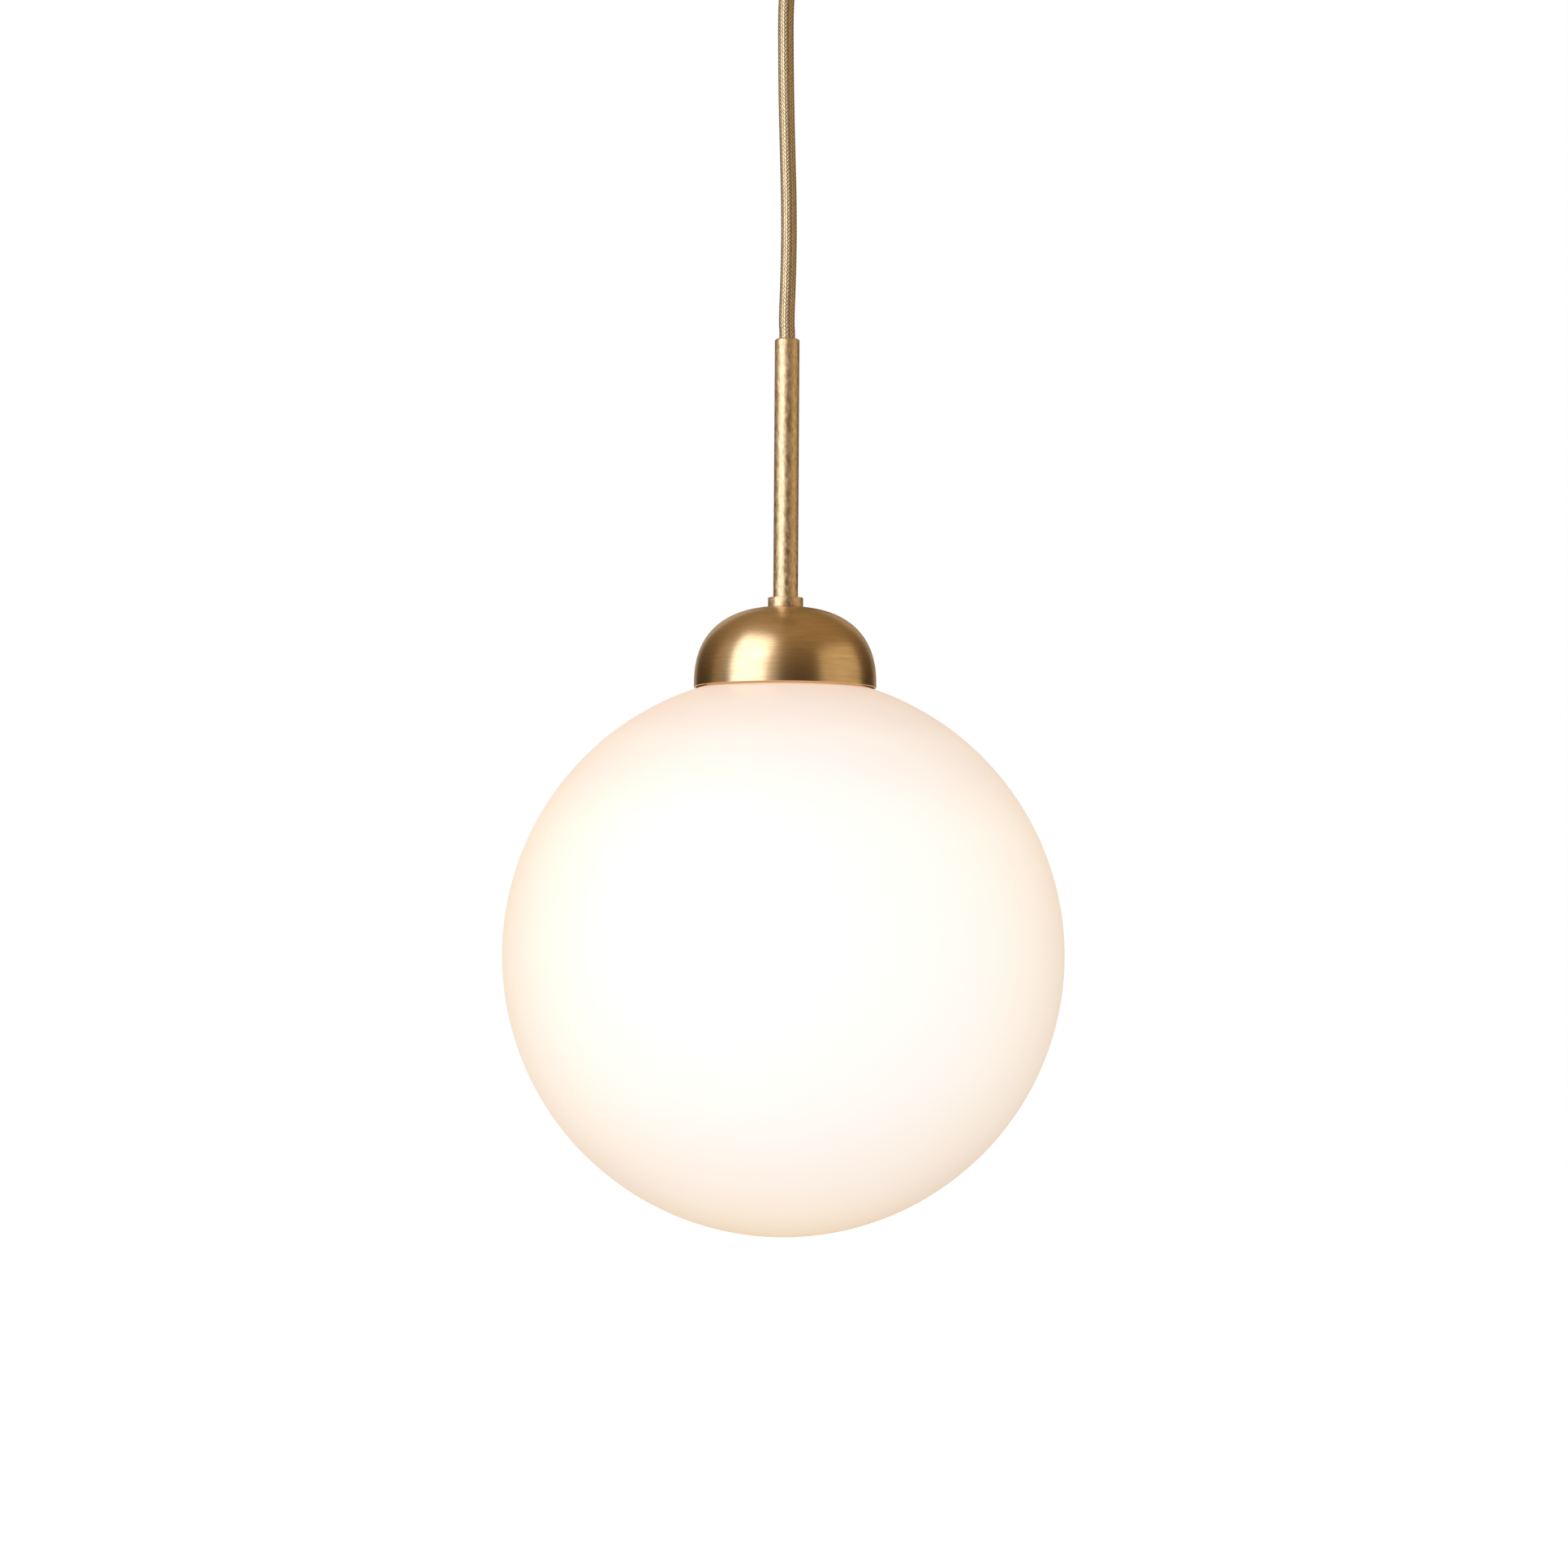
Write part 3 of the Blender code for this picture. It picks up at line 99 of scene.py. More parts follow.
LIGHTS_MIDDLE = 0.12

# Stage: the studio's colours at the horizon and overhead, and the floor
WHITE = (1.0, 1.0, 1.0, 1.0)
STUDIO_LOW = (0.030, 0.014, 0.006)
STUDIO_HIGH = (0.38, 0.24, 0.11)
STUDIO_RISE = (0.0, 0.9)  # the upward part of a direction, where the first colour turns to the second
FLOOR_DROP = 0.75  # below the globe's middle
FLOOR_RADIUS = 12.0
FLOOR_SEGMENTS = 64

# Colours: the darkest and the lightest of each finish
BRUSHED_BRASS = ((0.61, 0.43, 0.235), (0.88, 0.72, 0.48))
SATIN_BRASS = ((0.56, 0.40, 0.23), (1.0, 0.84, 0.58))
OPAL_WHITE = ((0.22, 0.215, 0.21), (0.28, 0.275, 0.27))
# the textile's darker colour is painted shade, for the gaps where the strands dive under one another
TEXTILE_GOLD_AND_GAP_SHADE = ((0.20, 0.105, 0.042), (0.80, 0.68, 0.46))
EARTH_GREEN_YELLOW = ((0.08, 0.33, 0.07), (0.74, 0.66, 0.06))
BULB_GLOW = (1.0, 0.90, 0.76, 1.0)

# The lit globe: the light that it gives off at heights from 0 at its bottom to 1 at the top of the
# whole sphere. It is dimmer towards the neck, as painted shade of the lamp holder over the bulb.
# The thin amber band just under the cap's rim is a painted reflection of the globe's light in the
# brass rim.
GLOBE_GLOW_AND_PAINTED_LIGHT = (
    (0.0, (1.16, 1.18, 1.25)),
    (0.03, (1.11, 1.19, 1.37)),
    (0.12, (1.06, 1.17, 1.44)),
    (0.30, (1.06, 1.20, 1.49)),
    (0.70, (1.06, 1.20, 1.49)),
    (0.86, (0.96, 1.10, 1.41)),
    (0.92, (0.92, 1.02, 1.32)),
    (0.972, (0.91, 0.98, 1.22)),
    (0.9755, (0.68, 0.34, 0.12)),
    (0.9775, (0.68, 0.34, 0.12)),
    (0.985, (0.76, 0.63, 0.49)),
)

# Finishes of the small pieces: darkest and lightest colour, least and most roughness, metallic
# part, emission strength
SMALL_FINISHES = {
    "zinc_steel": ((0.50, 0.51, 0.53), (0.72, 0.73, 0.74), (0.25, 0.45), 1.0, 0.0),
    "nickel": ((0.66, 0.63, 0.58), (0.78, 0.76, 0.72), (0.18, 0.32), 1.0, 0.0),
    "bulb_diffuser": ((0.92, 0.90, 0.86), (0.96, 0.95, 0.92), (0.40, 0.50), 0.0, 1.5),
    "white_nylon": ((0.78, 0.77, 0.72), (0.88, 0.87, 0.83), (0.42, 0.58), 0.0, 0.0),
    "black_plastic": ((0.018, 0.018, 0.018), (0.035, 0.034, 0.033), (0.38, 0.55), 0.0, 0.0),
    "ceramic": ((0.82, 0.79, 0.72), (0.90, 0.88, 0.83), (0.20, 0.35), 0.0, 0.0),
    "silicone": ((0.72, 0.72, 0.70), (0.82, 0.82, 0.80), (0.50, 0.68), 0.0, 0.0),
    "brown_insulation": ((0.17, 0.07, 0.03), (0.26, 0.11, 0.05), (0.40, 0.55), 0.0, 0.0),
    "blue_insulation": ((0.03, 0.12, 0.38), (0.06, 0.19, 0.50), (0.40, 0.55), 0.0, 0.0),
    "circuit_board": ((0.80, 0.82, 0.80), (0.90, 0.91, 0.90), (0.30, 0.50), 0.0, 0.0),
}
NOISE_SPREAD = (0.3, 0.7)  # the range that most of a noise texture's values lie in
MOTTLE_SCALE = 250.0  # patches of colour per metre, in a small piece's finish
GRAIN_SCALE = 2000.0  # grains per metre, in its gloss and relief

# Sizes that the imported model's facets only approach
GLOBE_RADIUS = 112.5 * MM
GLASS = 3.0 * MM
NECK_RADIUS = 29.0 * MM
NECK_FILLET = 1.6 * MM
CAP_WALL = 0.8 * MM
CANOPY_WALL = 1.0 * MM
CANOPY_HOLE = 5.3 * MM
RIM_ROUNDING = 0.2 * MM
DOME_POWER = 2.5  # of the superellipse that a dome's section follows
STEM_BORE = 4.25 * MM
HOLE_GAP = 0.3 * MM
COLLAR_EDGE = 0.25 * MM
COLLAR_SEAT = 0.1 * MM  # below the cap's top, where the dome falls away from the collar
EASED_EDGE = 0.12 * MM

# Fineness of the meshes: segments in a turn of a large and of a small piece, then steps in an arc
ROUND = 160
SMALL_ROUND = 96
DOME_STEPS = 40
GLOBE_STEPS = 72
GLOBE_INSIDE_STEPS = 48
LIP_STEPS = 10
RIM_STEPS = 8
FILLET_STEPS = 6
EDGE_STEPS = 4
BEVEL_STEPS = 2
WIRE_SMOOTHING = 2  # subdivisions
WELD = 0.001 * MM  # points closer than this are one
FLAT_ANGLE = math.radians(1)  # faces that meet at less than this are one
SHARP_ANGLE = math.radians(35)  # faces that meet at more than this keep a crisp edge

# Cord
CORD_RADIUS = 3.2 * MM
BRAID_CARRIERS = 16  # strands in each of the two sets
BRAID_PITCH = 1.57 * MM  # from one crossing to the next along the cord
BRAID_DEPTH = 0.15 * MM
BRAID_SIDES = 128  # points round the cord
BRAID_STEP = 0.2 * MM  # between rings of points
BRAID_FLOAT = 2  # crossings that a strand passes over, and then under
FLOAT_END = 0.42  # of a strand's width, where it dives under the next
STRAND_SIDE = 0.45  # a strand's height at its sides, if it is 1 along its middle
STRAND_ROUNDING = 1.9  # 2 would be a full half-circle across the strand
THREADS = 3  # in each strand

# The CAD nodes that are plain turned shapes, and the ones that are wires
TURNED_NODES = (
    "cord_exit_bush",
    "stem_bush",
    "lock_washer",
    "holder_body",
    "globe_gasket",
    "bulb_tip_contact",
    "bulb_insulator",
    "bulb_housing",
    "bulb_diffuser",
    "bulb_light_board",
)
WIRE_NODES = (
    "cord_tail",
    "earth_link",
    *(f"ceiling_core_{pole}" for pole in ("live", "earth", "neutral")),
    *(f"lamp_core_{pole}" for pole in ("live", "earth", "neutral")),
)


def at_height(z):
    """The point on the lamp's axis at this height."""
    return Vector((0, 0, z))


# --- Shader nodes -----------------------------------------------------------------------------


def add_node(tree, kind, inputs=None, **settings):
    """A new node with these settings. An input takes a value, or another node's output."""
    made = tree.nodes.new(kind)
    for key, value in settings.items():
        setattr(made, key, value)
    for key, value in (inputs or {}).items():
        if isinstance(value, bpy.types.NodeSocket):
            tree.links.new(value, made.inputs[key])
        else:
            made.inputs[key].default_value = value
    return made


def calculate(tree, operation, first, second=0.0):
    """The result of one arithmetic operation on values or node outputs."""
    inputs = {0: first, 1: second}
    return add_node(tree, "ShaderNodeMath", inputs, operation=operation).outputs[0]


def weighted(tree, *pairs):
    """The sum of node outputs, each times its weight."""
    total = 0.0
    for value, weight in pairs:
        total = calculate(tree, "ADD", calculate(tree, "MULTIPLY", value, weight), total)
    return total


def remap(tree, value, given, wanted=(0.0, 1.0)):
    """A value from the given range moved to the wanted one, and held there at both ends."""
    inputs = {0: value, 1: given[0], 2: given[1], 3: wanted[0], 4: wanted[1]}
    return add_node(tree, "ShaderNodeMapRange", inputs).outputs[0]


def noise(tree, vector, scale=1.0, detail=3.0, roughness=0.55):
    """Cloudy noise, with this many patches to each unit of the vector's coordinates."""
    inputs = {"Vector": vector, "Scale": scale, "Detail": detail, "Roughness": roughness}
    return add_node(tree, "ShaderNodeTexNoise", inputs).outputs[0]


def blend_colours(tree, factor, colours):
    """From the first of two colours at 0 to the second at 1."""
    first, second = colours
    inputs = {0: factor, 6: (*first, 1.0), 7: (*second, 1.0)}
    return add_node(tree, "ShaderNodeMix", inputs, data_type="RGBA").outputs[2]


def new_material(name, values):
    """A Principled material with these plain values. Returns it, its node tree and its shader."""
    material = bpy.data.materials.new(name)
    material.use_nodes = True
    shader = material.node_tree.nodes["Principled BSDF"]
    for key, value in values.items():
        shader.inputs[key].default_value = value
    return material, material.node_tree, shader


def plain_name(material):
    """A material's name without the number that Blender adds to a second one of that name."""
    return material.name.split(".")[0]


def object_point(tree):
    """The object's own coordinates, in metres."""
    return add_node(tree, "ShaderNodeTexCoord").outputs["Object"]


def stretched(tree, scale):
    """The object's own coordinates, stretched by a different amount along each axis."""
    inputs = {"Vector": object_point(tree), "Scale": scale}
    return add_node(tree, "ShaderNodeMapping", inputs).outputs[0]


def bump(tree, shader, height, strength, distance):
    """Relief on the shader's surface: a height of 1 stands this distance above 0."""
    inputs = {"Height": height, "Strength": strength, "Distance": distance}
    normal = add_node(tree, "ShaderNodeBump", inputs).outputs[0]
    tree.links.new(normal, shader.inputs["Normal"])


# --- Materials --------------------------------------------------------------------------------


def turned_lines(tree, centre_z, lines_per_mm, dashes_per_turn):
    """Coordinates whose noise runs in short lines round the Z axis, over a dome about centre_z."""
    x, y, z = add_node(tree, "ShaderNodeSeparateXYZ", {0: object_point(tree)}).outputs
    squares = (calculate(tree, "MULTIPLY", axis, axis) for axis in (x, y))
    radius = calculate(tree, "SQRT", calculate(tree, "ADD", *squares))
    rise = calculate(tree, "SUBTRACT", z, centre_z)
    polar = calculate(tree, "ARCTAN2", rise, radius)
    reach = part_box("cap")[1].x / MM * lines_per_mm
    turn = dashes_per_turn / math.tau
    around = [
        calculate(tree, "MULTIPLY", calculate(tree, "DIVIDE", axis, radius), turn)
        for axis in (x, y)
    ]
    inputs = {0: around[0], 1: around[1], 2: calculate(tree, "MULTIPLY", polar, reach)}
    return add_node(tree, "ShaderNodeCombineXYZ", inputs).outputs[0]


def brushed_brass(name, centre_z):
    """Lacquered brass, brushed round the axis: the lines stretch each reflection up and down."""
    material, tree, shader = new_material(
        name,
        {
            "Metallic": 1.0,
            "Anisotropic": 0.45,
            "Anisotropic Rotation": 0.25,
            "Coat Weight": 0.1,
            "Coat Roughness": 0.4,
        },
    )
    tangent = add_node(tree, "ShaderNodeTangent", direction_type="RADIAL", axis="Z")
    tree.links.new(tangent.outputs[0], shader.inputs["Tangent"])
    fine_lines = turned_lines(tree, centre_z, lines_per_mm=4.0, dashes_per_turn=26)
    coarse_lines = turned_lines(tree, centre_z, lines_per_mm=1.5, dashes_per_turn=14)
    fine = noise(tree, fine_lines, detail=2.0, roughness=0.6)
    coarse = noise(tree, coarse_lines, detail=3.0, roughness=0.65)
    patina = noise(tree, object_point(tree), scale=70.0)
    lines = weighted(tree, (fine, 0.4), (coarse, 0.6))
    shade = remap(tree, weighted(tree, (lines, 0.8), (patina, 0.2)), NOISE_SPREAD)
    colour = blend_colours(tree, shade, BRUSHED_BRASS)
    tree.links.new(colour, shader.inputs["Base Color"])
    roughness = remap(tree, shade, (0.0, 1.0), (0.35, 0.26))
    tree.links.new(roughness, shader.inputs["Roughness"])
    bump(tree, shader, lines, strength=0.4, distance=0.06 * MM)
    return material


def satin_brass():
    """Brass with a fine lengthwise grain and a mottled satin finish."""
    material, tree, shader = new_material(
        "satin_brass", {"Metallic": 1.0, "Coat Weight": 0.1, "Coat Roughness": 0.3}
    )
    grain = noise(tree, stretched(tree, (1800, 1800, 350)), detail=4.0, roughness=0.7)
    mottle = noise(tree, stretched(tree, (750, 750, 420)), detail=3.0, roughness=0.6)
    shade = remap(tree, weighted(tree, (grain, 0.5), (mottle, 0.5)), given=(0.38, 0.62))
    colour = blend_colours(tree, shade, SATIN_BRASS)
    tree.links.new(colour, shader.inputs["Base Color"])
    roughness = remap(tree, mottle, NOISE_SPREAD, (0.38, 0.56))
    tree.links.new(roughness, shader.inputs["Roughness"])
    relief = weighted(tree, (grain, 0.5), (mottle, 1.0))
    bump(tree, shader, relief, strength=0.6, distance=0.1 * MM)
    return material


def globe_glow_and_painted_light(tree, globe_z):
    """The colour of the globe's own light at each height, with painted shade towards the neck and a
    painted amber reflection of the brass rim just under the cap.
    """
    up = add_node(tree, "ShaderNodeSeparateXYZ", {0: object_point(tree)}).outputs[2]
    height = remap(tree, up, (globe_z - GLOBE_RADIUS, globe_z + GLOBE_RADIUS))
    ramp = add_node(tree, "ShaderNodeValToRGB", {0: height})
    ramp.color_ramp.interpolation = "EASE"
    for place, _ in GLOBE_GLOW_AND_PAINTED_LIGHT[1:-1]:
        ramp.color_ramp.elements.new(place)
    for element, (place, colour) in zip(ramp.color_ramp.elements, GLOBE_GLOW_AND_PAINTED_LIGHT):
        element.position = place
        element.color = (*colour, 1.0)
    return ramp.outputs[0]


def opal_glass(globe_z):
    """Satin opal glass, lit from inside."""
    material, tree, shader = new_material(
        "opal_glass",
        {
            "Roughness": 0.42,
            "IOR": 1.45,
            "Coat Weight": 1.0,
            "Coat Roughness": 0.5,
            "Coat IOR": 1.22,
            "Coat Tint": (0.93, 0.80, 0.64, 1.0),
            "Sheen Weight": 0.15,
            "Sheen Roughness": 0.5,
            "Sheen Tint": (1.0, 0.86, 0.70, 1.0),
            "Emission Strength": 1.0,
        },
    )
    # the globe's light, with painted shade near the neck and the painted amber reflection of the rim
    tree.links.new(globe_glow_and_painted_light(tree, globe_z), shader.inputs["Emission Color"])
    cloud = noise(tree, object_point(tree), scale=40.0)
    tree.links.new(blend_colours(tree, cloud, OPAL_WHITE), shader.inputs["Base Color"])
    roughness = remap(tree, cloud, NOISE_SPREAD, (0.38, 0.46))
    tree.links.new(roughness, shader.inputs["Roughness"])
    relief = noise(tree, object_point(tree), scale=2500.0)
    bump(tree, shader, relief, strength=0.05, distance=0.02 * MM)
    return material


def braided_textile():
    """Silky braided yarn, bright on the strands, with painted shade where they dive under one another.
    """
    material, tree, shader = new_material(
        "braided_textile",
        {
            "Metallic": 0.8,
            "Sheen Weight": 0.05,
            "Sheen Roughness": 0.3,
            "Sheen Tint": (1.0, 0.90, 0.70, 1.0),
        },
    )
    rise = add_node(tree, "ShaderNodeAttribute", attribute_name="strand_height").outputs["Fac"]
    place = add_node(tree, "ShaderNodeAttribute", attribute_name="strand_place").outputs["Fac"]
    fuzz = noise(tree, object_point(tree), scale=1500.0, detail=4.0, roughness=0.7)
    # painted shade: the colour darkens with the strands' height, where they dip into the braid's gaps;
    # the fuzz adds random tone
    shade = remap(tree, weighted(tree, (rise, 0.8), (fuzz, 0.4)), given=(0.3, 1.0))
    colour = blend_colours(tree, shade, TEXTILE_GOLD_AND_GAP_SHADE)
    tree.links.new(colour, shader.inputs["Base Color"])
    roughness = remap(tree, fuzz, NOISE_SPREAD, (0.34, 0.50))
    tree.links.new(roughness, shader.inputs["Roughness"])
    threads = calculate(tree, "SINE", calculate(tree, "MULTIPLY", place, THREADS * math.tau))
    relief = weighted(tree, (threads, 0.3), (fuzz, 1.0))
    bump(tree, shader, relief, strength=0.25, distance=0.04 * MM)
    return material


def add_grain(tree, shader, roughness):
    """Fine grain in a finish's gloss and height, as moulding, plating and firing leave it."""
    grain = noise(tree, object_point(tree), GRAIN_SCALE)
    tree.links.new(remap(tree, grain, NOISE_SPREAD, roughness), shader.inputs["Roughness"])
    bump(tree, shader, grain, strength=0.08, distance=0.05 * MM)


def mottled(name, dark, light, roughness, metallic, glow):
    """A small piece's finish, a little uneven in colour, gloss and height."""
    values = {"Metallic": metallic, "Emission Color": BULB_GLOW, "Emission Strength": glow}
    material, tree, shader = new_material(name, values)
    cloud = noise(tree, object_point(tree), MOTTLE_SCALE)
    tree.links.new(blend_colours(tree, cloud, (dark, light)), shader.inputs["Base Color"])
    add_grain(tree, shader, roughness)
    return material


def green_yellow_insulation():
    """Green insulation with a yellow stripe on each side."""
    material, tree, shader = new_material("green_yellow_insulation", {})
    inputs = {"Vector": object_point(tree), "Scale": 90.0, "Distortion": 0.6}
    waves = add_node(tree, "ShaderNodeTexWave", inputs, bands_direction="DIAGONAL")
    stripe = remap(tree, waves.outputs["Fac"], given=(0.45, 0.55))
    tree.links.new(blend_colours(tree, stripe, EARTH_GREEN_YELLOW), shader.inputs["Base Color"])
    add_grain(tree, shader, roughness=(0.40, 0.55))
    return material


def small_finishes():
    """The finishes of the small pieces, by the record's slot name."""
    finishes = {name: mottled(name, *settings) for name, settings in SMALL_FINISHES.items()}
    finishes["green_yellow_insulation"] = green_yellow_insulation()
    return finishes


# --- Meshes -----------------------------------------------------------------------------------


def arc(centre_r, centre_z, radius, start, end, steps):
    """Points (r, z) on a circular arc, both ends included, with angles in degrees from +r."""
    points = []
    for i in range(steps + 1):
        angle = math.radians(start + (end - start) * i / steps)
        points.append((centre_r + radius * math.cos(angle), centre_z + radius * math.sin(angle)))
    return points


def dome_arc(radius, height, hole):
    """A rounded dome's outline from its rim at z = 0 up to the hole in its top."""
    last = math.acos((hole / radius) ** (DOME_POWER / 2))
    points = []
    for i in range(DOME_STEPS + 1):
        angle = last * i / DOME_STEPS
        r = radius * math.cos(angle) ** (2 / DOME_POWER)
        z = height * math.sin(angle) ** (2 / DOME_POWER)
        points.append((r, z))
    return points


def dome_outline(radius, height, wall, hole):
    """A dome's closed outline. Its rim is rounded over, in place of the outside's first points."""
    rim = arc(radius - RIM_ROUNDING, RIM_ROUNDING, RIM_ROUNDING, -90, 0, RIM_STEPS)
    outside = dome_arc(radius, height, hole)[2:]
    inside = dome_arc(radius - wall, height - wall, hole)
    return rim + outside + inside[::-1]


def raised(outline, z):
    """An outline moved up by z."""
    return [(r, height + z) for r, height in outline]


def turned(outline, segments=ROUND):
    """A closed outline of (r, z) points turned about Z. One from axis to axis closes there."""
    bm = bmesh.new()
    verts = [bm.verts.new((max(r, 0.0), 0, z)) for r, z in outline]
    edges = [bm.edges.new(pair) for pair in zip(verts, verts[1:])]
    if outline[0][0] > WELD:
        edges.append(bm.edges.new((verts[-1], verts[0])))
    bmesh.ops.spin(
        bm,
        geom=verts + edges,
        cent=(0, 0, 0),
        axis=(0, 0, 1),
        angle=math.tau,
        steps=segments,
        use_merge=True,
    )
    bmesh.ops.remove_doubles(bm, verts=bm.verts, dist=WELD)
    return bm


def shape_piece(name, bm, material):
    """A closed bmesh as an object with smooth rounds and crisp edges, and this material."""
    bmesh.ops.recalc_face_normals(bm, faces=bm.faces)
    mesh = bpy.data.meshes.new(name)
    bm.to_mesh(mesh)
    bm.free()
    mesh.shade_smooth()
    mesh.set_sharp_from_angle(angle=SHARP_ANGLE)
    mesh.materials.append(material)
    piece = bpy.data.objects.new(name, mesh)
    bpy.context.scene.collection.objects.link(piece)
    return piece


def stand_for(node, name, bm, material):
    """A piece that replaces a CAD node and rides on its body."""
    cad = frame["nodes"][node]
    piece = shape_piece(name, bm, material)
    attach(piece, cad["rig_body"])
    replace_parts(piece, node)
    return piece


def slot_name(cad):
    """The record's slot that a CAD node is in."""
    return plain_name(cad.material_slots[0].material)


def make_globe(material):
    """The blown globe: one sphere of even thickness with a flame-polished neck."""
    low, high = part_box("globe")
    centre = low.z + GLOBE_RADIUS
    neck_top = high.z - centre
    inner_radius = GLOBE_RADIUS - GLASS
    bore = NECK_RADIUS - GLASS
    lip = GLASS / 2
    fillet_r = NECK_RADIUS + NECK_FILLET
    fillet_z = math.sqrt((GLOBE_RADIUS + NECK_FILLET) ** 2 - fillet_r**2)
    shoulder = math.degrees(math.atan2(fillet_z, fillet_r))
    inner_shoulder = math.degrees(math.acos(bore / inner_radius))
    outline = [
        *arc(0, 0, GLOBE_RADIUS, -90, shoulder, GLOBE_STEPS),
        *arc(fillet_r, fillet_z, NECK_FILLET, shoulder + 180, 180, FILLET_STEPS)[1:],
        *arc(NECK_RADIUS - lip, neck_top - lip, lip, 0, 180, LIP_STEPS),
        *arc(0, 0, inner_radius, inner_shoulder, -90, GLOBE_INSIDE_STEPS),
    ]
    outline[0] = (0, -GLOBE_RADIUS)
    outline[-1] = (0, -inner_radius)
    return stand_for("globe", "opal_globe", turned(raised(outline, centre)), material)


def make_cap(material):
    """The spun cap: a rounded dome, with a hole for the stem."""
    low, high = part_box("cap")
    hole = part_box("stem")[1].x + HOLE_GAP
    outline = dome_outline(high.x, high.z - low.z, CAP_WALL, hole)
    return stand_for("cap", "domed_cap", turned(raised(outline, low.z)), material)


def make_collar(material):
    """The collar, down to the dome that it sits on."""
    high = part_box("collar")[1]
    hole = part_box("stem")[1].x + HOLE_GAP
    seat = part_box("cap")[1].z - COLLAR_SEAT
    outline = [
        (hole, seat),
        (high.x, seat),
        *arc(high.x - COLLAR_EDGE, high.z - COLLAR_EDGE, COLLAR_EDGE, 0, 90, EDGE_STEPS),
        (hole, high.z),
    ]
    return stand_for("collar", "turned_collar", turned(outline, SMALL_ROUND), material)


def make_stem(material):
    """The stem's tube, with its top edge rounded off over the whole wall."""
    low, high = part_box("stem")
    wall = high.x - STEM_BORE
    outline = [
        (STEM_BORE, low.z),
        (high.x, low.z),
        *arc(STEM_BORE, high.z - wall, wall, 0, 90, EDGE_STEPS),
    ]
    return stand_for("stem", "stem_tube", turned(outline, SMALL_ROUND), material)


def make_canopy(material):
    """The canopy: the cap's kind of dome, upside down under the ceiling."""
    low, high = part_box("canopy")
    dome = dome_outline(high.x, high.z - low.z, CANOPY_WALL, CANOPY_HOLE)
    outline = [(r, high.z - z) for r, z in dome]
    return stand_for("canopy", "ceiling_canopy", turned(outline), material)


def welded_copy(node):
    """A CAD node's mesh with its split corners joined and its flat faces whole again."""
    bm = bmesh.new()
    bm.from_mesh(frame["nodes"][node].data)
    bmesh.ops.remove_doubles(bm, verts=bm.verts, dist=WELD)
    bmesh.ops.dissolve_limit(bm, angle_limit=FLAT_ANGLE, verts=bm.verts, edges=bm.edges)
    return bm


def turned_again(node):
    """A turned CAD node's own outline, read off one half-plane and turned in finer steps."""
    bm = bmesh.new()
    bm.from_mesh(frame["nodes"][node].data)
    bmesh.ops.remove_doubles(bm, verts=bm.verts, dist=WELD)
    in_plane = [vert for vert in bm.verts if abs(vert.co.y) < WELD and vert.co.x > -WELD]
    kept = set(in_plane)
    follows = {
        vert: [edge.other_vert(vert) for edge in vert.link_edges if edge.other_vert(vert) in kept]
        for vert in in_plane
    }
    ends = [vert for vert in in_plane if len(follows[vert]) == 1]
    outline = [(ends or in_plane)[0]]
    while True:
        after = [vert for vert in follows[outline[-1]] if vert not in outline]
        if not after:
            break
        outline.append(after[0])
    points = [(vert.co.x, vert.co.z) for vert in outline]
    bm.free()
    if ends:
        points = [(0, points[0][1]), *points, (0, points[-1][1])]
    return turned(points, SMALL_ROUND)


def eased(node):
    """A CAD node's own shape with its sharp edges eased, as stamping and moulding leave them."""
    bm = welded_copy(node)
    sharp = [
        edge
        for edge in bm.edges
        if len(edge.link_faces) == 2 and edge.calc_face_angle() > SHARP_ANGLE
    ]
    bmesh.ops.bevel(
        bm,
        geom=sharp,
        offset=EASED_EDGE,
        segments=BEVEL_STEPS,
        profile=0.5,
        affect="EDGES",
        clamp_overlap=True,
    )
    return bm


def make_inner_pieces(finishes):
    """Finer pieces for every CAD node that no piece stands for yet."""
    for node, cad in frame["nodes"].items():
        if cad.hide_render:
            continue
        material = finishes[slot_name(cad)]
        if node in TURNED_NODES:
            stand_for(node, f"{node}_turned", turned_again(node), material)
        elif node in WIRE_NODES:
            wire = stand_for(node, f"{node}_round", welded_copy(node), material)
            rounding = wire.modifiers.new("Rounding", "SUBSURF")
            rounding.levels = WIRE_SMOOTHING
            rounding.render_levels = WIRE_SMOOTHING
        else:
            stand_for(node, f"{node}_eased", eased(node), material)


# --- Cord -------------------------------------------------------------------------------------


def cord_route():
    """The cord's own points, from the exit bush down into the lamp holder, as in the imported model."""
    stem_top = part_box("stem")[1].z
    stem_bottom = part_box("stem")[0].z
    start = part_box("cord_exit_bush")[1].z - HOLE_GAP
    return [
        Vector((x, 0, z))
        for x, z in (
            (0.0, start),
            (-0.5 * MM, stem_top + 146 * MM),
            (-1.1 * MM, stem_top + 139 * MM),
            (-1.34 * MM, stem_top + 130 * MM),
            (-1.25 * MM, stem_top + 118 * MM),
            (-1.04 * MM, stem_top + 104 * MM),
            (-0.65 * MM, stem_top + 88 * MM),
            (-0.13 * MM, stem_top + 71 * MM),
            (0.25 * MM, stem_top + 58 * MM),
            (0.42 * MM, stem_top + 45 * MM),
            (0.38 * MM, stem_top + 34 * MM),
            (0.15 * MM, stem_top + 22 * MM),
            (-0.15 * MM, stem_top + 12 * MM),
            (-0.2 * MM, stem_top + 6 * MM),
            (0.0, stem_top),
            (0.0, stem_top - 30 * MM),
            (0.0, stem_top - 62 * MM),
            (0.0, stem_top - 94 * MM),
            (0.0, stem_bottom - 3 * MM),
        )
    ]


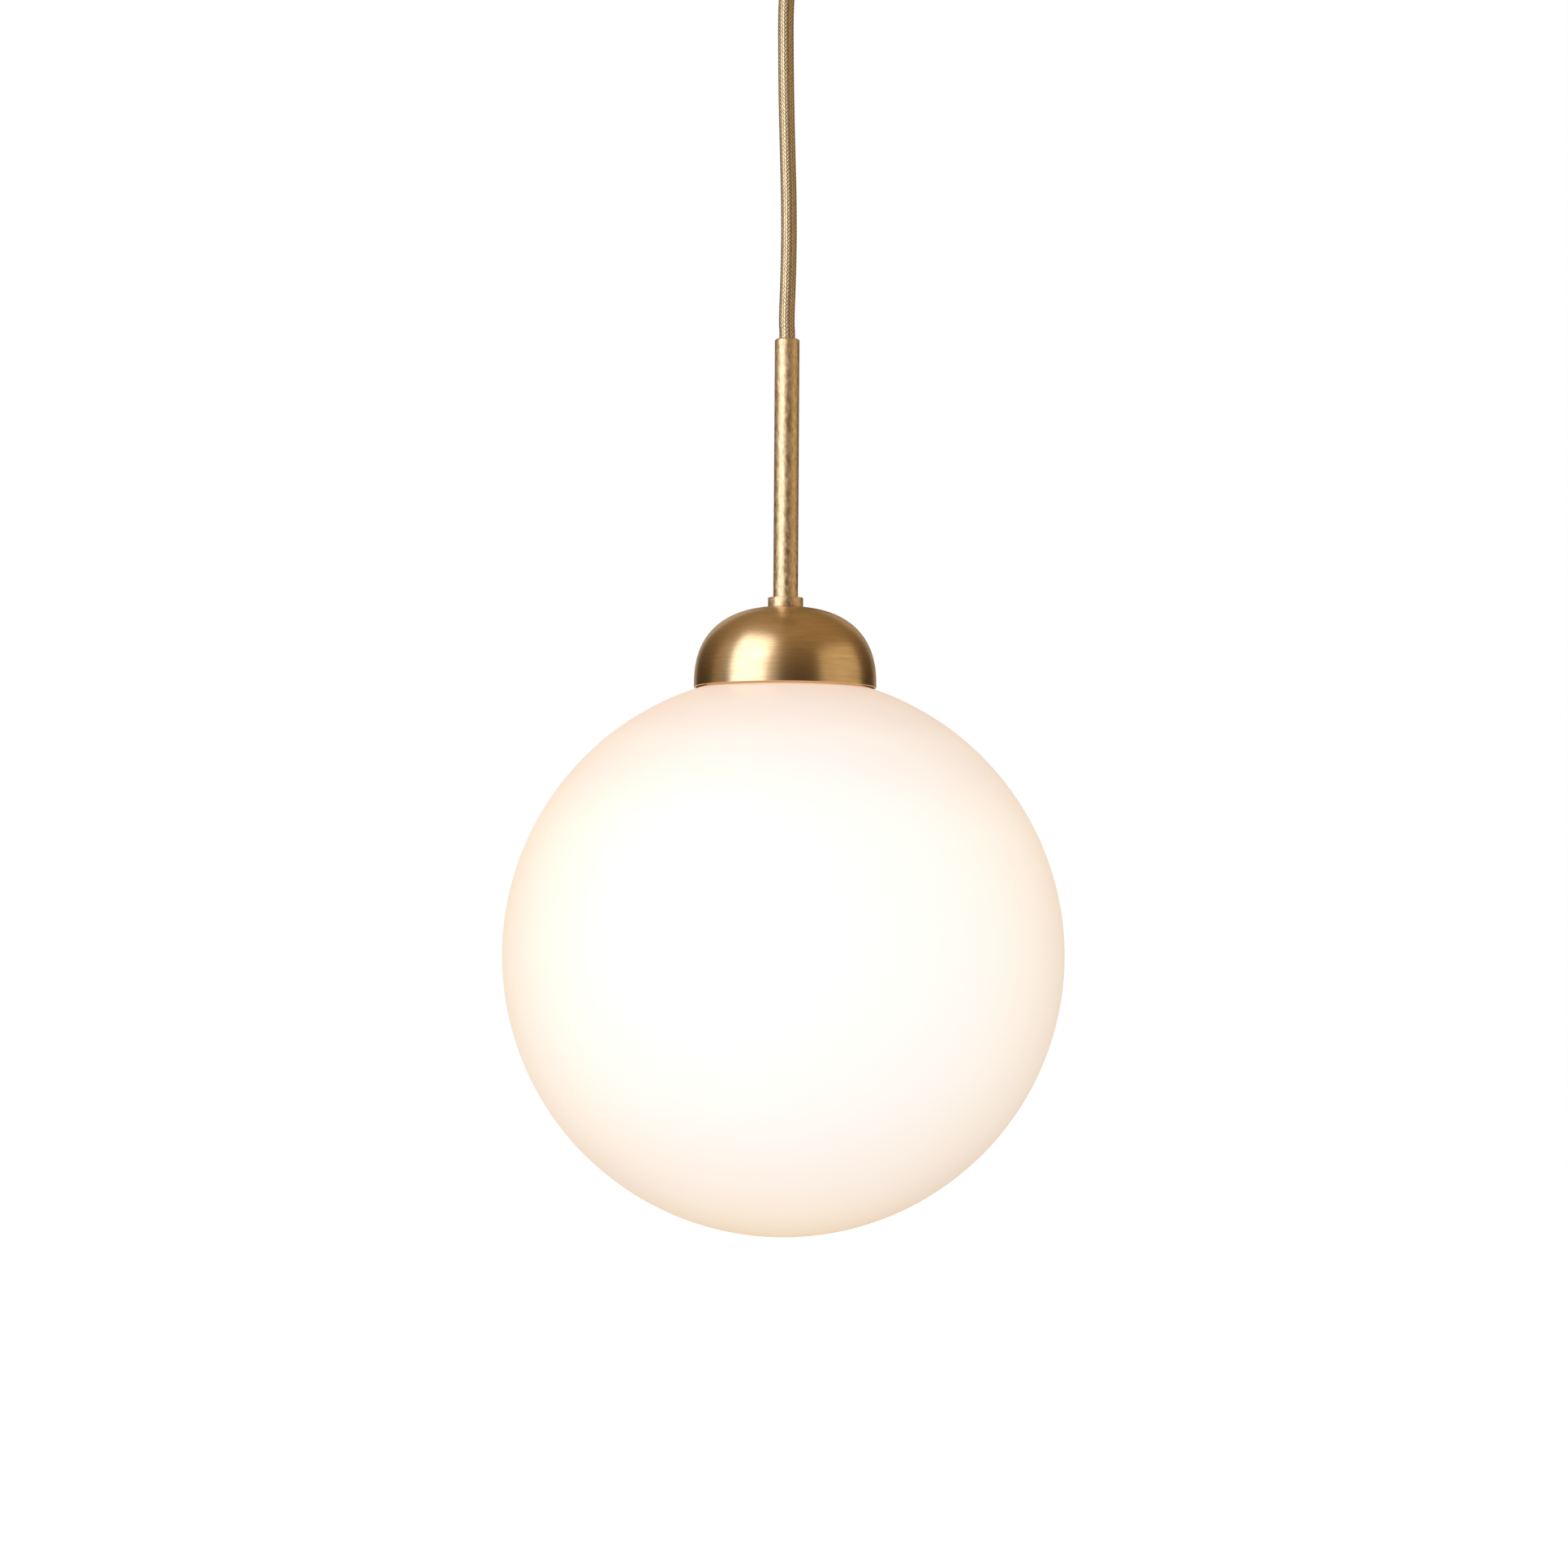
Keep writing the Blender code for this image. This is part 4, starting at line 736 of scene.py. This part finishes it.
def smooth_route(points, step):
    """Points about step apart on a Catmull-Rom curve through the route's own points."""
    ends = [2 * points[0] - points[1], *points, 2 * points[-1] - points[-2]]
    route = [points[0]]
    for a, b, c, d in zip(ends, ends[1:], ends[2:], ends[3:]):
        slope = c - a
        curve = 2 * a - 5 * b + 4 * c - d
        twist = 3 * b - a - 3 * c + d
        count = max(1, round((c - b).length / step))
        for i in range(1, count + 1):
            t = i / count
            route.append(b + 0.5 * (slope * t + curve * t**2 + twist * t**3))
    return route


def rounded_step(value, width):
    """From 0 at an edge up to 1 at this distance from it, smoothly."""
    t = np.clip(value / width, 0, 1)
    return t * t * (3 - 2 * t)


def braid(turn, length):
    """The braid's height, from 0 to 1, and the place across its strand, at these turns and lengths.

    Two sets of strands wind opposite ways. Each passes over two strands of the other set, then
    under two, and dips at both ends of each float.
    """
    first = BRAID_CARRIERS * turn + length / BRAID_PITCH
    second = BRAID_CARRIERS * turn - length / BRAID_PITCH
    over = (np.floor(first) + np.floor(second)) % (2 * BRAID_FLOAT) < BRAID_FLOAT
    along_first = (np.floor(first) + second) % (2 * BRAID_FLOAT)
    along_second = (first + np.floor(second)) % (2 * BRAID_FLOAT) - BRAID_FLOAT
    along = np.where(over, along_first, along_second)
    across = np.where(over, first % 1, second % 1) - 0.5
    end = rounded_step(np.minimum(along, BRAID_FLOAT - along), FLOAT_END)
    side = np.sqrt(np.clip(1 - (STRAND_ROUNDING * across) ** 2, 0, 1))
    return end * (STRAND_SIDE + (1 - STRAND_SIDE) * side), across


def cord_surface(route):
    """The rings of points round the route that carry the braid, and their attributes."""
    travelled = np.concatenate([[0], np.cumsum(np.linalg.norm(np.diff(route, axis=0), axis=1))])
    along = np.gradient(route, axis=0)
    along /= np.linalg.norm(along, axis=1)[:, None]
    out = np.cross(along, (0.0, 1.0, 0.0))
    out /= np.linalg.norm(out, axis=1)[:, None]
    side = np.cross(along, out)
    turn = np.arange(BRAID_SIDES) / BRAID_SIDES
    height, place = braid(turn[None, :], travelled[:, None])
    radius = CORD_RADIUS + BRAID_DEPTH * (height - 1)
    rings = (
        route[:, None, :]
        + (radius * np.cos(math.tau * turn))[:, :, None] * out[:, None, :]
        + (radius * np.sin(math.tau * turn))[:, :, None] * side[:, None, :]
    )
    return rings, {"strand_height": height, "strand_place": place}


def cord_mesh(route):
    """The closed mesh of the braided cord."""
    rings, attributes = cord_surface(route)
    index = np.arange(rings.shape[0] * BRAID_SIDES).reshape(-1, BRAID_SIDES)
    after = np.roll(index, -1, axis=1)
    quads = np.stack([index[:-1], after[:-1], after[1:], index[1:]], axis=-1).reshape(-1, 4)
    faces = quads.tolist() + [index[0].tolist(), index[-1][::-1].tolist()]
    mesh = bpy.data.meshes.new("braid")
    mesh.from_pydata(rings.reshape(-1, 3).tolist(), [], faces)
    for name, values in attributes.items():
        attribute = mesh.attributes.new(name, "FLOAT", "POINT")
        attribute.data.foreach_set("value", values.astype(np.float32).ravel())
    bm = bmesh.new()
    bm.from_mesh(mesh)
    bpy.data.meshes.remove(mesh)
    return bm


def make_cord(material):
    """The textile cord, braided along its route."""
    points = cord_route()
    bm = cord_mesh(np.array(smooth_route(points, BRAID_STEP)))
    cord = shape_piece("braided_cord", bm, material)
    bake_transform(cord)
    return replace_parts(cord, "cord")


# --- Camera, light and stage --------------------------------------------------------------------


def make_camera(globe_z):
    """The camera in front of the lamp."""
    camera = bpy.data.objects.new("camera", bpy.data.cameras.new("camera"))
    bpy.context.scene.collection.objects.link(camera)
    camera.data.lens = CAMERA_LENS
    camera.data.clip_start, camera.data.clip_end = CAMERA_CLIP
    camera.location = (CAMERA_OFFSET_X, -CAMERA_DISTANCE, globe_z)
    target = Vector((CAMERA_OFFSET_X, 0, globe_z + AIM_ABOVE_GLOBE))
    aim = (target - camera.location).to_track_quat("-Z", "Y")
    camera.rotation_euler = (aim @ Quaternion((0, 0, 1), CAMERA_ROLL)).to_euler()
    bpy.context.scene.camera = camera


def add_softbox(name, middle, azimuth, height, distance, width, tall, radiance, colour):
    """A soft area light beside the lamp, facing it."""
    light = bpy.data.lights.new(name, "AREA")
    light.shape = "RECTANGLE"
    light.size = width
    light.size_y = tall
    light.energy = radiance * math.pi * width * tall
    light.color = colour
    softbox = bpy.data.objects.new(name, light)
    bpy.context.scene.collection.objects.link(softbox)
    turn = math.radians(azimuth)
    away = Vector((math.sin(turn), -math.cos(turn), 0))
    softbox.location = middle + distance * away + at_height(height)
    softbox.rotation_euler = (middle - softbox.location).to_track_quat("-Z", "Y").to_euler()
    softbox.visible_camera = False


def make_world():
    """White where the camera looks past the lamp, and a dim warm studio round it for the rest."""
    world = bpy.data.worlds.new("studio")
    bpy.context.scene.world = world
    world.use_nodes = True
    tree = world.node_tree
    tree.nodes.clear()
    direction = add_node(tree, "ShaderNodeTexCoord").outputs["Generated"]
    up = add_node(tree, "ShaderNodeSeparateXYZ", {0: direction}).outputs[2]
    colour = blend_colours(tree, remap(tree, up, STUDIO_RISE), (STUDIO_LOW, STUDIO_HIGH))
    studio = add_node(tree, "ShaderNodeBackground", {"Color": colour}).outputs[0]
    white = add_node(tree, "ShaderNodeBackground", {"Color": WHITE}).outputs[0]
    seen = add_node(tree, "ShaderNodeLightPath").outputs["Is Camera Ray"]
    mix = add_node(tree, "ShaderNodeMixShader", {0: seen, 1: studio, 2: white})
    out = add_node(tree, "ShaderNodeOutputWorld")
    tree.links.new(mix.outputs[0], out.inputs["Surface"])


def make_floor(z):
    """A wide pale floor under the lamp, bright enough to run into the white behind it."""
    values = {
        "Base Color": WHITE,
        "Roughness": 0.9,
        "Emission Color": WHITE,
        "Emission Strength": 1.0,
    }
    material = new_material("pale_floor", values)[0]
    bm = bmesh.new()
    bmesh.ops.create_circle(bm, cap_ends=True, radius=FLOOR_RADIUS, segments=FLOOR_SEGMENTS)
    bmesh.ops.translate(bm, verts=bm.verts, vec=at_height(z))
    mesh = bpy.data.meshes.new("floor")
    bm.to_mesh(mesh)
    bm.free()
    mesh.materials.append(material)
    floor = bpy.data.objects.new("floor", mesh)
    bpy.context.scene.collection.objects.link(floor)
    floor.visible_glossy = False
    floor.visible_diffuse = False


def main():
    """Camera, light, stage and materials, then every piece, then the CAD nodes' finishes."""
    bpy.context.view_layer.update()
    bpy.context.scene.view_settings.view_transform = "Standard"
    globe_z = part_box("globe")[0].z + GLOBE_RADIUS
    make_camera(globe_z)
    textile = braided_textile()
    make_cord(textile)
    make_world()
    make_floor(globe_z - FLOOR_DROP)
    for name, settings in SOFTBOXES.items():
        add_softbox(name, at_height(globe_z + LIGHTS_MIDDLE), *settings)
    finishes = small_finishes()
    finishes["textile"] = textile
    finishes["satin_brass"] = satin_brass()
    finishes["opal_glass"] = opal_glass(globe_z)
    finishes["brushed_brass"] = brushed_brass("brushed_brass_canopy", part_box("canopy")[1].z)
    make_globe(finishes["opal_glass"])
    make_cap(brushed_brass("brushed_brass_cap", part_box("cap")[0].z))
    make_collar(finishes["satin_brass"])
    make_stem(finishes["satin_brass"])
    make_canopy(finishes["brushed_brass"])
    make_inner_pieces(finishes)
    for node in frame["nodes"].values():
        node.material_slots[0].material = finishes[slot_name(node)]


main()
